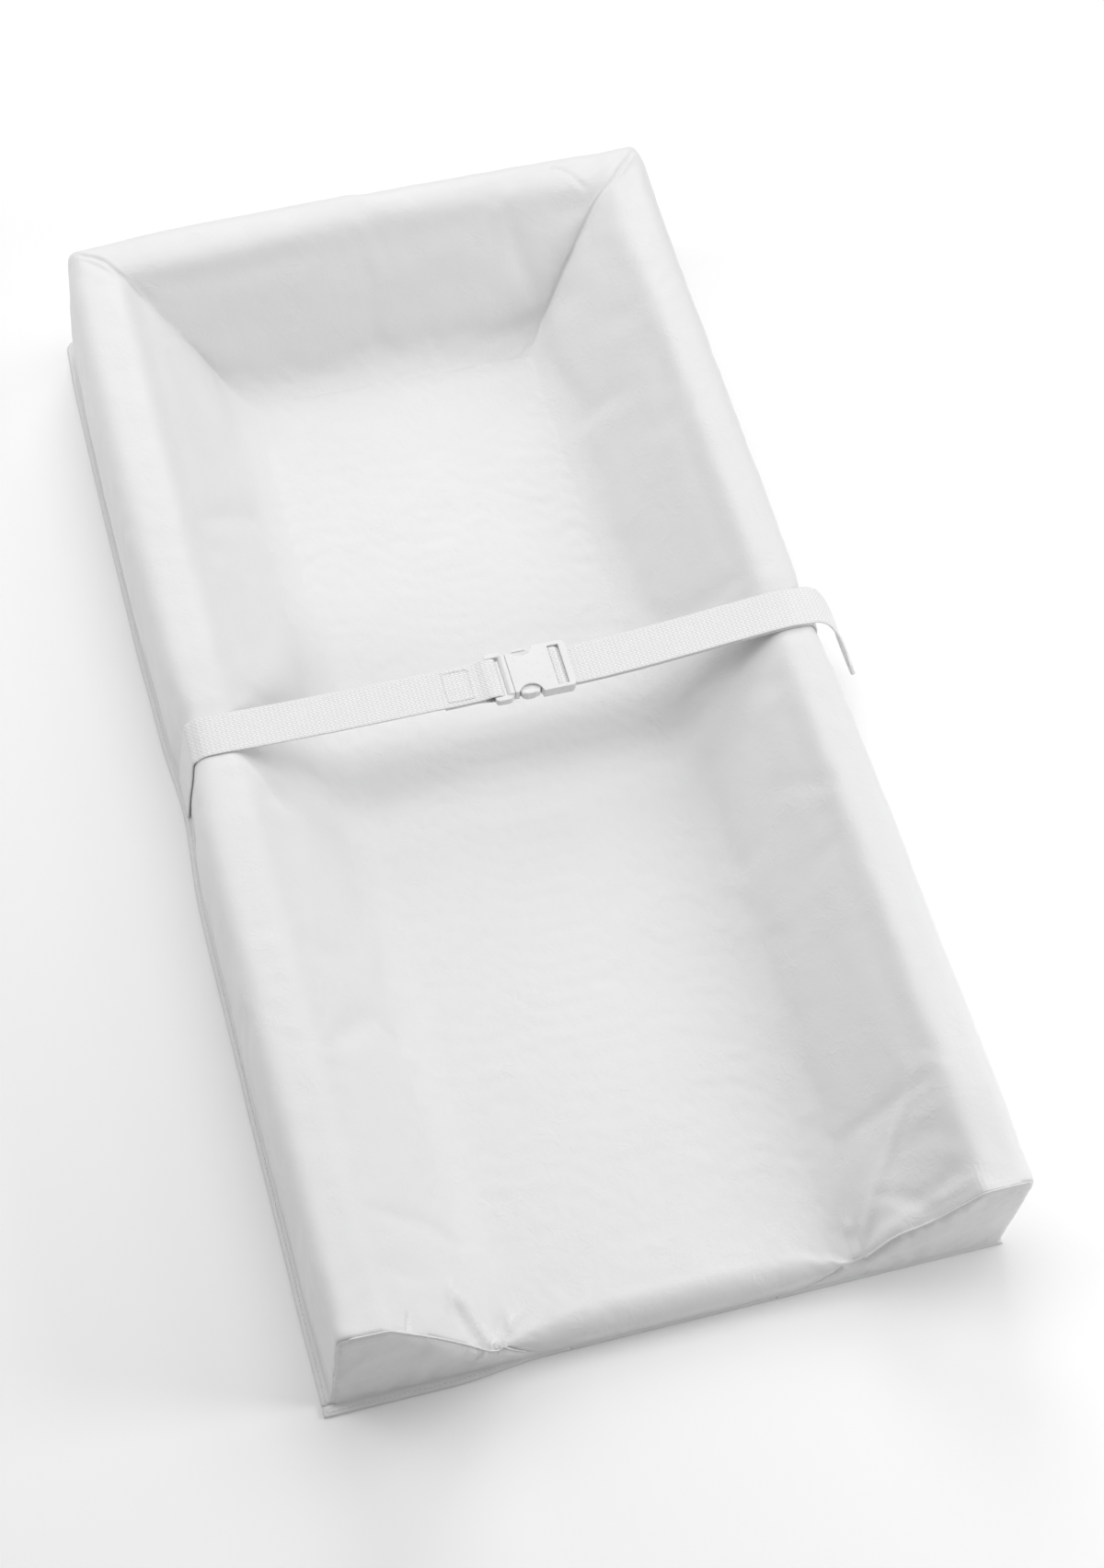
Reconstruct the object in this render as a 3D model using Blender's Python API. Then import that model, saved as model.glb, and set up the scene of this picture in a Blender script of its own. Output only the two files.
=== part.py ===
"""Three-sided contoured changing pad with a safety belt, a side-release buckle and two furniture
anchor straps. Metres, +Z up, +Y towards the head, origin on the resting plane under the middle."""

import math

import bmesh
import bpy
from mathutils import Vector

# ---- driving dimensions of the pad ----
HALF_WIDTH = 0.2045  # side wall at the base seam
HEAD_Y = 0.4075  # head wall at the base seam
FOOT_Y = -0.4015  # foot wall
HEIGHT = 0.1016  # top of the raised sides
LYING_HEIGHT = 0.0280  # top of the lying surface
WALL_LEAN = 0.0040  # the walls lean in by this much up to the rim
CREST_WIDTH = 0.0265
SLOPE_WIDTH = 0.0660
RIM_RADIUS = 0.0070
CREST_RADIUS = 0.0140
VALLEY_RADIUS = 0.0200
FOOT_CREST_DROP = 0.0050  # the raised sides end this much lower at the foot
FOOT_DROP_LENGTH = 0.0700
BELT_DIP = 0.0030  # the belt presses the rims down by this much
BELT_DIP_FLAT = 0.0220  # half-width of the pressed stretch
BELT_DIP_REACH = 0.0300  # and how far each side of it takes to recover
FOOT_ROLL = 0.0110  # radius of the rounded foot edge, in its middle
SEAM_TIP_X = 0.0750  # where the foot gusset's top seam runs out at the base

# ---- materials' thicknesses and fits ----
GAP = 0.0003
SHEET = 0.0010  # cover sheet
FLANGE = 0.0060  # seam allowance that stands out round the base
LIP_TOP = 2 * SHEET + GAP
FOAM_INSET = SHEET + 0.0009
SLAB_TOP = LYING_HEIGHT - SHEET - 2 * GAP
SLAB_INSET = 0.0027  # from the walls' feet to the foam slab
SLAB_FOOT_RADIUS = 0.0120
FOAM_FOOT_Y = FOOT_Y + 0.0018  # where all the foam ends at the foot
GUSSET_SLIT = 0.0010  # between a gusset's top seam and the top panel

# ---- furniture anchors in the underside ----
ANCHOR_WIDTH = 0.0254
ANCHOR_LENGTH = 0.1000
ANCHOR_INSET = 0.0200  # from the end wall to the strap's sewn line
STRAP_SHEET = 0.0014
POCKET_DEPTH = 0.0060
POCKET_MARGIN = 0.0038
POCKET_DRAFT = 0.0020
STUD_RADIUS = 0.0062
STUD_POST_RADIUS = 0.0024
STUD_POST_TOP = 0.0052
STUD_HOLE_RADIUS = 0.0030
STUD_SOCKET_RADIUS = 0.0055
STUD_SOCKET_HOLE = 0.0028
STUD_SOCKET_HEIGHT = 0.0020
STUD_FROM_END = 0.0140  # from the strap's free end to the stud
STRAP_CORNER = 0.0040

# ---- belt ----
WEBBING = 0.0290
WEBBING_SHEET = 0.0014
BELT_SAG = 0.0080
BELT_Y_LEFT = -0.0010  # middle of the webbing on the left rim
BELT_Y_BUCKLE = 0.0025
BELT_Y_RIGHT = 0.0055
LEFT_ANCHOR_SHIFT = 0.0180  # the left end is sewn in this much nearer the head
RIGHT_ANCHOR_SHIFT = 0.0070
LEFT_HEM_END_X = -0.0400  # where the sewn loop's return layer ends
TAIL_PIVOT_X = 0.1955

# ---- buckle, along X ----
PLUG_BAR_X = -0.0080
PLUG_BAR_WIDTH = 0.0035
PLUG_SLOT = 0.0050
COLLAR_LENGTH = 0.0040
SOCKET_MOUTH_X = 0.0049
SOCKET_BODY_END_X = 0.0305
BAR_NEAR_X = 0.0340
BAR_NEAR_WIDTH = 0.0035
BAR_FAR_X = 0.0415
SOCKET_END_X = 0.0445
BUCKLE_HALF_HEIGHT = 0.0040
SOCKET_HALF_WIDTH = 0.0172
EAR_HALF_WIDTH = 0.0181
SLOT_HALF_WIDTH = 0.0148
CAVITY_HALF_HEIGHT = 0.0027
CAVITY_HALF_WIDTH = 0.0142
PLUG_HALF_HEIGHT = 0.0024
PLUG_BAR_HALF_HEIGHT = 0.0015
TONGUE_HALF_WIDTH = 0.0028
TONGUE_END_X = 0.0262
ARM_ROOT_X = SOCKET_MOUTH_X + 0.0002
ARM_HALF_HEIGHT = 0.0024
ARM_PIVOT_Y = 0.0095
WINDOW_CENTRE = (0.0148, 0.0185)
WINDOW_RADIUS = 0.0082
OUTSIDE = 0.0100  # how far a cutter reaches past what it cuts

# ---- care label ----
LABEL_LEFT_X = -0.1250
LABEL_RIGHT_X = -0.0800
LABEL_TOP = 0.0300
LABEL_SHEET = 0.0006

CREST_INNER = WALL_LEAN + CREST_WIDTH
VALLEY_D = CREST_INNER + SLOPE_WIDTH
RIM_AT_BELT = HEIGHT - BELT_DIP
STRAP_LIFT = GAP + WEBBING_SHEET / 2
LAYER = WEBBING_SHEET + GAP
BELT_Z = RIM_AT_BELT + STRAP_LIFT  # middle of the lower layer on the rims
LEAVE_X = HALF_WIDTH - CREST_INNER + 0.0065  # where the webbing leaves the flat of the rim
BUCKLE_Z = BELT_Z - BELT_SAG * (1 - (0.018 / LEAVE_X) ** 2)


def clear_scene():
    for obj in list(bpy.data.objects):
        bpy.data.objects.remove(obj, do_unlink=True)


# ---------------------------------------------------------------- materials
def material(name, colour, roughness, metallic=0.0):
    made = bpy.data.materials.new(name)
    made.use_nodes = True
    shader = made.node_tree.nodes["Principled BSDF"]
    shader.inputs["Base Color"].default_value = (*colour, 1.0)
    shader.inputs["Roughness"].default_value = roughness
    shader.inputs["Metallic"].default_value = metallic
    return made


def make_materials():
    return {
        "foam": material("foam", (0.86, 0.80, 0.62), 0.9),
        "vinyl": material("cover_vinyl", (0.88, 0.89, 0.90), 0.45),
        "base": material("nonskid_base", (0.78, 0.79, 0.80), 0.8),
        "webbing": material("webbing", (0.90, 0.90, 0.91), 0.7),
        "plastic": material("buckle_plastic", (0.92, 0.92, 0.93), 0.3),
        "steel": material("press_stud", (0.75, 0.75, 0.76), 0.25, 1.0),
        "label": material("label_satin", (0.93, 0.93, 0.92), 0.6),
    }


# ---------------------------------------------------------------- mesh helpers
def add_object(name, vertices, faces, finish):
    """An object from points and faces, with all faces turned outwards."""
    mesh = bpy.data.meshes.new(name)
    mesh.from_pydata([tuple(v) for v in vertices], [], faces)
    made = bmesh.new()
    made.from_mesh(mesh)
    bmesh.ops.recalc_face_normals(made, faces=made.faces)
    made.to_mesh(mesh)
    made.free()
    mesh.materials.append(finish)
    obj = bpy.data.objects.new(name, mesh)
    bpy.context.scene.collection.objects.link(obj)
    return obj


def shade(obj, angle=0.6):
    obj.data.shade_smooth()
    obj.data.set_sharp_from_angle(angle=angle)
    return obj


def add_solidify(obj, thickness):
    """Thickness is laid on the inner side of the sheet."""
    solid = obj.modifiers.new("Thickness", "SOLIDIFY")
    solid.thickness = thickness
    solid.offset = -1.0
    solid.use_even_offset = True
    solid.use_quality_normals = True


def add_bevel(obj, width, segments=2):
    bevel = obj.modifiers.new("Edges", "BEVEL")
    bevel.width = width
    bevel.segments = segments
    bevel.limit_method = "ANGLE"
    bevel.angle_limit = math.radians(40)


def add_cutter(obj, cutter):
    cutter.hide_render = True
    cutter.display_type = "WIRE"
    cut = obj.modifiers.new("Cut " + cutter.name, "BOOLEAN")
    cut.operation = "DIFFERENCE"
    cut.solver = "EXACT"
    cut.object = cutter


def add_union(obj, other):
    other.hide_render = True
    other.display_type = "WIRE"
    join = obj.modifiers.new("Join " + other.name, "BOOLEAN")
    join.operation = "UNION"
    join.solver = "EXACT"
    join.object = other


def set_origin(obj, point):
    """Moves the object's origin to point and leaves its shape where it is."""
    for vertex in obj.data.vertices:
        vertex.co -= Vector(point)
    obj.location = point


def prism(name, outline, low, high, axis, finish):
    """An outline extruded from low to high. Axis z takes (x, y) points and axis x takes (y, z)."""
    count = len(outline)
    if axis == "z":
        points = [(u, v, h) for h in (low, high) for u, v in outline]
    elif axis == "x":
        points = [(h, u, v) for h in (low, high) for u, v in outline]
    faces = [[i, (i + 1) % count, count + (i + 1) % count, count + i] for i in range(count)]
    faces.append(list(range(count)))
    faces.append([count + i for i in reversed(range(count))])
    return add_object(name, points, faces, finish)


def box(name, low, high, finish):
    outline = [(low[0], low[1]), (high[0], low[1]), (high[0], high[1]), (low[0], high[1])]
    return prism(name, outline, low[2], high[2], "z", finish)


def round_corners(corners, steps=5):
    """Corners are (u, v, radius). Each radius becomes an arc that is tangent to both sides."""
    path = []
    for i, (u, v, radius) in enumerate(corners):
        here = Vector((u, v))
        if radius == 0.0 or i in (0, len(corners) - 1):
            path.append(here)
            continue
        back = (Vector(corners[i - 1][:2]) - here).normalized()
        on = (Vector(corners[i + 1][:2]) - here).normalized()
        half = back.angle(on) / 2
        centre = here + (back + on).normalized() * (radius / math.sin(half))
        start = here + back * (radius / math.tan(half)) - centre
        end = here + on * (radius / math.tan(half)) - centre
        for k in range(steps + 1):
            path.append(centre + start.slerp(end, k / steps).normalized() * radius)
    return path


def smooth_path(points, per_span=4):
    """A curve through the points, by cubic spans with each point's own mean direction."""
    nodes = [Vector(p) for p in points]
    ways = [
        (nodes[min(i + 1, len(nodes) - 1)] - nodes[max(i - 1, 0)]) / 2 for i in range(len(nodes))
    ]
    path = [nodes[0]]
    for i in range(len(nodes) - 1):
        for k in range(1, per_span + 1):
            t = k / per_span
            path.append(
                nodes[i] * (2 * t**3 - 3 * t**2 + 1)
                + ways[i] * (t**3 - 2 * t**2 + t)
                + nodes[i + 1] * (3 * t**2 - 2 * t**3)
                + ways[i + 1] * (t**3 - t**2)
            )
    return path


def smoothstep(value):
    value = min(max(value, 0.0), 1.0)
    return value * value * (3 - 2 * value)


def offset_path(path, distance):
    """The path moved to its left by distance, mitred at its corners."""
    moved = []
    for i, point in enumerate(path):
        back = (point - path[max(i - 1, 0)]).normalized()
        on = (path[min(i + 1, len(path) - 1)] - point).normalized()
        back = back if i else on
        on = on if i < len(path) - 1 else back
        mean = (back + on).normalized()
        side = Vector((-mean.y, mean.x))
        moved.append(point + side * (distance / max(mean.dot(on), 0.5)))
    return moved


# ---------------------------------------------------------------- the pad's shape
def side_profile():
    """Outer surface of a raised side, as (distance in from the wall's foot, height)."""
    return round_corners(
        [
            (0.0, LIP_TOP, 0.0),
            (WALL_LEAN, HEIGHT, RIM_RADIUS),
            (CREST_INNER, HEIGHT, CREST_RADIUS),
            (VALLEY_D, LYING_HEIGHT, VALLEY_RADIUS),
            (VALLEY_D + VALLEY_RADIUS, LYING_HEIGHT, 0.0),
        ]
    )[:-1]


def crest_share(y):
    """How much of its full height above the lying surface a side has at y."""
    rise = HEIGHT - LYING_HEIGHT
    foot = smoothstep((FOOT_Y + FOOT_DROP_LENGTH - y) / FOOT_DROP_LENGTH) * FOOT_CREST_DROP
    beside = abs(y - BELT_Y_BUCKLE) - BELT_DIP_FLAT
    dip = BELT_DIP * (1 - smoothstep(beside / BELT_DIP_REACH))
    return 1 - (foot + dip) / rise


def height_at(z, y):
    if z <= LYING_HEIGHT:
        return z
    return LYING_HEIGHT + (z - LYING_HEIGHT) * crest_share(y)


def leg_stations(foot_end):
    reach = (BELT_DIP_FLAT, BELT_DIP_FLAT + BELT_DIP_REACH / 2, BELT_DIP_FLAT + BELT_DIP_REACH)
    belt = [BELT_Y_BUCKLE - r for r in reversed(reach)] + [BELT_Y_BUCKLE + r for r in reach]
    return [foot_end, -0.385, -0.365, -0.345, -0.330, -0.19, *belt, 0.17, 0.29]


HEAD_STATIONS = [-0.09, 0.0, 0.09]


def u_loop(d, z, foot_end):
    """The line round the left, head and right sides at one point of the side's profile."""
    x = HALF_WIDTH - d
    y = HEAD_Y - d
    stations = leg_stations(foot_end)
    left = [(-x, s, height_at(z, s)) for s in stations]
    head = [(-x, y, z)] + [(s, y, z) for s in HEAD_STATIONS] + [(x, y, z)]
    right = [(-p[0], p[1], p[2]) for p in reversed(left)]
    return left + head + right


def foot_roll(share):
    """Radius of the foot edge at a share of the way out to the gusset."""
    return SHEET + GAP + FOOT_ROLL * (1 - share**4)


def build_top_panel(finish):
    """One sheet: walls, rims, slopes, lying surface and the apron that rolls over the foot edge."""
    profile = side_profile()
    foot_end = FOOT_Y + SHEET + GAP
    loops = [u_loop(-FLANGE, LIP_TOP, foot_end)]
    loops += [u_loop(p.x, p.y, foot_end) for p in profile]
    count = len(loops[0])
    points = [p for loop in loops for p in loop]
    faces = []
    for j in range(len(loops) - 1):
        for i in range(count - 1):
            a = j * count + i
            faces.append([a, a + 1, a + count + 1, a + count])
    inner = (len(loops) - 1) * count
    inner_x = HALF_WIDTH - profile[-1].x
    columns = [-0.85, -0.6, -0.3, 0.0, 0.3, 0.6, 0.85]
    angles = [0.0, 30.0, 60.0, 90.0]

    def apron_point(share, step):
        roll = foot_roll(share)
        turn = math.radians(angles[min(step, 3)])
        y = FOOT_Y + roll * (1 - math.sin(turn))
        z = LYING_HEIGHT - roll * (1 - math.cos(turn))
        if step >= 4:
            z = LIP_TOP
        if step == 5:
            y = FOOT_Y - FLANGE
        fall = (LYING_HEIGHT - z) / (LYING_HEIGHT - LIP_TOP)
        return (share * (inner_x + (SEAM_TIP_X - inner_x) * fall), y, z)

    rows = []
    for step in range(6):
        row = []
        for share in [-1.0, *columns, 1.0]:
            if step == 0 and share == -1.0:
                row.append(inner)
            elif step == 0 and share == 1.0:
                row.append(inner + count - 1)
            else:
                row.append(len(points))
                points.append(apron_point(share, step))
        rows.append(row)
    faces.append(list(range(inner, inner + count)) + list(reversed(rows[0][1:-1])))
    for above, below in zip(rows, rows[1:]):
        for i in range(len(above) - 1):
            faces.append([above[i], above[i + 1], below[i + 1], below[i]])
    panel = add_object("cover_top_panel", points, faces, finish)
    turn_up(panel)
    add_solidify(panel, SHEET)
    return shade(panel)


def turn_up(panel):
    """Turns an open sheet so that its largest face looks up."""
    largest = max(panel.data.polygons, key=lambda face: face.area)
    if largest.normal.z < 0:
        panel.data.flip_normals()


def build_gusset(name, side, finish):
    """The sewn-in end of one raised side at the foot, with its share of the base flange."""
    edge = [(HALF_WIDTH - p.x, height_at(p.y, FOOT_Y)) for p in side_profile()]
    inner_x = edge[-1][0] + GUSSET_SLIT
    tip_x = SEAM_TIP_X + GUSSET_SLIT
    points = [(x, FOOT_Y, z) for x, z in edge[:-1]]
    points.append((inner_x, FOOT_Y, LYING_HEIGHT))
    points.append((tip_x, FOOT_Y, LIP_TOP))
    front = list(range(len(points)))
    wall = 0
    tip = len(points) - 1
    lip = len(points)
    points.append((tip_x, FOOT_Y - FLANGE, LIP_TOP))
    points.append((HALF_WIDTH, FOOT_Y - FLANGE, LIP_TOP))
    points.append((HALF_WIDTH + FLANGE, FOOT_Y - FLANGE, LIP_TOP))
    points.append((HALF_WIDTH + FLANGE, FOOT_Y, LIP_TOP))
    faces = [front, [tip, wall, lip + 1, lip], [wall, lip + 3, lip + 2, lip + 1]]
    points = [(side * x, y, z) for x, y, z in points]
    gusset = add_object(name, points, faces, finish)
    largest = max(gusset.data.polygons, key=lambda face: face.area)
    if largest.normal.y > 0:
        gusset.data.flip_normals()
    add_solidify(gusset, SHEET)
    return shade(gusset)


def anchor_lines():
    """(y of the sewn line, direction of the free end) for the head and foot anchor straps."""
    return {
        "head": (HEAD_Y - ANCHOR_INSET, -1.0),
        "foot": (FOOT_Y + ANCHOR_INSET, 1.0),
    }


def pocket_span(name):
    """Lowest and highest y of an anchor strap's pocket, at its ceiling."""
    line, way = anchor_lines()[name]
    ends = (line - way * 0.0015, line + way * (ANCHOR_LENGTH + POCKET_MARGIN))
    return min(ends), max(ends)


def build_bottom_panel(finish):
    """Flat sheet under the foam, pushed up into two shallow pockets over the anchor straps."""
    half = ANCHOR_WIDTH / 2 + POCKET_MARGIN
    edge_x = HALF_WIDTH + FLANGE
    xs = [-edge_x, -half - POCKET_DRAFT, -half, half, half + POCKET_DRAFT, edge_x]
    ys = [FOOT_Y - FLANGE]
    raised = []
    for name in ("foot", "head"):
        low, high = pocket_span(name)
        ys += [low - POCKET_DRAFT, low, high, high + POCKET_DRAFT]
        raised.append((low, high))
    ys.append(HEAD_Y + FLANGE)
    points = []
    for y in ys:
        for x in xs:
            up = abs(x) <= half and any(low <= y <= high for low, high in raised)
            points.append((x, y, POCKET_DEPTH if up else 0.0))
    wide = len(xs)
    faces = []
    for j in range(len(ys) - 1):
        for i in range(wide - 1):
            a = j * wide + i
            faces.append([a, a + 1, a + wide + 1, a + wide])
    panel = add_object("cover_bottom_panel", points, faces, finish)
    largest = max(panel.data.polygons, key=lambda face: face.area)
    if largest.normal.z > 0:
        panel.data.flip_normals()
    add_solidify(panel, SHEET)
    return panel


# ---------------------------------------------------------------- foam
def build_slab(finish):
    """Base slab with a rounded foot edge and a relief over each anchor strap."""
    head = HEAD_Y - SLAB_INSET
    low = SHEET + GAP
    side = round_corners(
        [
            (head, low, 0.0),
            (FOAM_FOOT_Y, low, 0.0),
            (FOAM_FOOT_Y, SLAB_TOP, SLAB_FOOT_RADIUS),
            (head, SLAB_TOP, 0.0),
        ]
    )
    half = HALF_WIDTH - SLAB_INSET
    slab = prism("foam_base_slab", [(p.x, p.y) for p in side], -half, half, "x", finish)
    reach = ANCHOR_WIDTH / 2 + POCKET_MARGIN + POCKET_DRAFT + SHEET + GAP
    for name in ("foot", "head"):
        start, end = pocket_span(name)
        more = POCKET_DRAFT + SHEET + GAP
        bottom = (-reach, start - more, -SHEET)
        top = (reach, end + more, POCKET_DEPTH + SHEET + GAP)
        add_cutter(slab, box("slab_relief_" + name, bottom, top, finish))
    return shade(slab)


def foam_section():
    """Cross-section of a raised foam side, inside the cover and above the slab."""
    bottom = SLAB_TOP + GAP
    inset = offset_path(side_profile(), -FOAM_INSET)
    upper = [p for p in inset if p.y > bottom + 0.0012]
    return [Vector((upper[0].x, bottom))] + upper + [Vector((upper[-1].x, bottom))]


def loft(name, rings, finish):
    """A closed solid through rings of points, with flat ends."""
    count = len(rings[0])
    points = [p for ring in rings for p in ring]
    faces = []
    for j in range(len(rings) - 1):
        for i in range(count):
            a, b = j * count + i, j * count + (i + 1) % count
            faces.append([a, b, b + count, a + count])
    faces.append(list(reversed(range(count))))
    faces.append([(len(rings) - 1) * count + i for i in range(count)])
    return add_object(name, points, faces, finish)


def build_side_bolster(name, side, finish):
    """Raised foam side, with a mitred head end."""
    section = foam_section()
    rings = []
    for s in leg_stations(FOAM_FOOT_Y):
        rings.append([(side * (HALF_WIDTH - p.x), s, height_at(p.y, s)) for p in section])
    mitre = [(side * (HALF_WIDTH - p.x), HEAD_Y - p.x - GAP, p.y) for p in section]
    rings.append(mitre)
    return shade(loft(name, rings, finish))


def build_head_bolster(finish):
    """Raised foam head end between the two sides, mitred at both ends."""
    section = foam_section()
    rings = [[(-HALF_WIDTH + p.x + GAP, HEAD_Y - p.x, p.y) for p in section]]
    rings += [[(s, HEAD_Y - p.x, p.y) for p in section] for s in HEAD_STATIONS]
    rings.append([(HALF_WIDTH - p.x - GAP, HEAD_Y - p.x, p.y) for p in section])
    return shade(loft("foam_head_bolster", rings, finish))


# ---------------------------------------------------------------- belt webbing
def ribbon(name, path, middle_y, width, thickness, finish):
    """A flat band along a path of (x, z), with its middle at middle_y(x, z)."""
    rings = []
    for i, p in enumerate(path):
        on = (path[min(i + 1, len(path) - 1)] - path[max(i - 1, 0)]).normalized()
        side = Vector((-on.y, on.x)) * (thickness[i] / 2)
        y = middle_y[i]
        upper, lower = p + side, p - side
        rings.append(
            [
                (upper.x, y - width / 2, upper.y),
                (upper.x, y + width / 2, upper.y),
                (lower.x, y + width / 2, lower.y),
                (lower.x, y - width / 2, lower.y),
            ]
        )
    return loft(name, rings, finish)


def wall_run():
    """The webbing's middle line from the base seam up the right wall to the inside of the rim."""
    surface = [Vector((HALF_WIDTH - p.x, height_at(p.y, BELT_Y_BUCKLE))) for p in side_profile()]
    surface = [p for p in surface if p.x >= LEAVE_X - 0.0006]
    run = offset_path(surface, -STRAP_LIFT)
    start = Vector((run[0].x, LIP_TOP + GAP))
    return [start] + [p for p in run if p.y > 0.02]


def belt_middle(x):
    """y of the webbing's middle along the span."""
    if x < -0.02:
        share = smoothstep((x + LEAVE_X) / (LEAVE_X - 0.02))
        return BELT_Y_LEFT + (BELT_Y_BUCKLE - BELT_Y_LEFT) * share
    share = smoothstep((x - 0.05) / (LEAVE_X - 0.05))
    return BELT_Y_BUCKLE + (BELT_Y_RIGHT - BELT_Y_BUCKLE) * share


def wall_shift(p, amount):
    """The webbing slants towards the head on its way down the wall."""
    if abs(p.x) < HALF_WIDTH - 0.012:
        return 0.0
    return amount * (1 - smoothstep(p.y / RIM_AT_BELT))


def arc(centre, radius, start, end, steps):
    turn = [math.radians(start + (end - start) * k / steps) for k in range(steps + 1)]
    return [Vector((centre[0] + radius * math.cos(a), centre[1] + radius * math.sin(a))) for a in turn]


def build_left_strap(finish):
    """Sewn in at the left of the base, over the rim, round the plug's bar and back under itself."""
    wall = [Vector((-p.x, p.y)) for p in wall_run()]
    over_bar = BUCKLE_Z + 0.0015 + STRAP_LIFT
    under_bar = 2 * BUCKLE_Z - over_bar
    bar_end = PLUG_BAR_X + PLUG_BAR_WIDTH - 0.0003
    span = [wall[-1]]
    for x in (-0.140, -0.105, -0.070, -0.040):
        span.append(Vector((x, BELT_Z - BELT_SAG * (1 - (x / LEAVE_X) ** 2) + LAYER / 2)))
    span[-1].y = BUCKLE_Z + LAYER / 2
    span.append(Vector((-0.0185, BUCKLE_Z + LAYER / 2)))
    span.append(Vector((-0.0100, over_bar)))
    span.append(Vector((bar_end, over_bar)))
    top = smooth_path(span, 3)
    turn = arc((bar_end, BUCKLE_Z), over_bar - BUCKLE_Z, 90, -90, 8)
    back = smooth_path(
        [
            (bar_end, under_bar),
            (-0.0100, under_bar),
            (-0.0185, BUCKLE_Z - LAYER / 2),
            (LEFT_HEM_END_X, BUCKLE_Z - LAYER / 2),
        ],
        3,
    )
    path = wall[:-1] + top + turn[1:-1] + back
    middle = [belt_middle(p.x) + wall_shift(p, LEFT_ANCHOR_SHIFT) for p in path]
    thick = [WEBBING_SHEET] * len(path)
    return ribbon("belt_left_strap", path, middle, WEBBING, thick, finish)


def build_right_strap(finish):
    """Up the right wall, under the socket's bars, over the near bar and back over itself."""
    wall = wall_run()
    load = BUCKLE_Z - 0.0019
    over = BUCKLE_Z + 0.0026
    tail = load + LAYER
    lower = [wall[-1]]
    for x in (0.140, 0.105, 0.075):
        lower.append(Vector((x, load + (BELT_Z - load) * ((x - 0.04) / (LEAVE_X - 0.04)) ** 1.6)))
    lower += [Vector((0.050, load)), Vector((BAR_NEAR_X + 0.0003, load))]
    lower = smooth_path(lower, 3)
    turn = arc((BAR_NEAR_X + 0.0003, (load + over) / 2), (over - load) / 2, -90, -270, 8)
    upper = [
        (BAR_NEAR_X + 0.0003, over),
        (BAR_NEAR_X + BAR_NEAR_WIDTH + 0.0001, over - 0.0001),
        (BAR_FAR_X, BUCKLE_Z + 0.00035),
        (SOCKET_END_X, tail),
        (0.0510, tail),
    ]
    for x in (0.075, 0.105, 0.140):
        z = load + (BELT_Z - load) * ((x - 0.04) / (LEAVE_X - 0.04)) ** 1.6
        upper.append((x, z + LAYER))
    upper += [(LEAVE_X, BELT_Z + LAYER), (TAIL_PIVOT_X - 0.0010, BELT_Z + LAYER)]
    path = wall[:-1] + lower + turn[1:-1] + smooth_path(upper, 3)
    middle = [belt_middle(p.x) + wall_shift(p, RIGHT_ANCHOR_SHIFT) for p in path[: len(wall)]]
    middle += [belt_middle(p.x) for p in path[len(wall) :]]
    thick = [WEBBING_SHEET] * len(path)
    return ribbon("belt_right_strap", path, middle, WEBBING, thick, finish)


def build_tail(finish):
    """Free end of the right strap, hanging off the rim, with a folded and sewn tip."""
    top = BELT_Z + LAYER
    path = smooth_path(
        [
            (TAIL_PIVOT_X, top),
            (0.2080, 0.0965),
            (0.2175, 0.0800),
            (0.2255, 0.0600),
            (0.2320, 0.0440),
            (0.2360, 0.0345),
            (0.2385, 0.0285),
        ],
        3,
    )
    middle = [BELT_Y_RIGHT] * len(path)
    hem = 4
    thick = [WEBBING_SHEET] * (len(path) - hem) + [2 * WEBBING_SHEET + GAP] * hem
    tail = ribbon("belt_tail", path, middle, WEBBING, thick, finish)
    set_origin(tail, (TAIL_PIVOT_X, BELT_Y_RIGHT, top + LAYER / 2))
    return tail


# ---------------------------------------------------------------- buckle
def mirrored(outline):
    """An outline given for y >= 0, closed by its mirror image."""
    return outline + [(x, -y) for x, y in reversed(outline) if y > 0]


def at_buckle(obj):
    obj.location = (0.0, BELT_Y_BUCKLE, BUCKLE_Z)
    return obj


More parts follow.
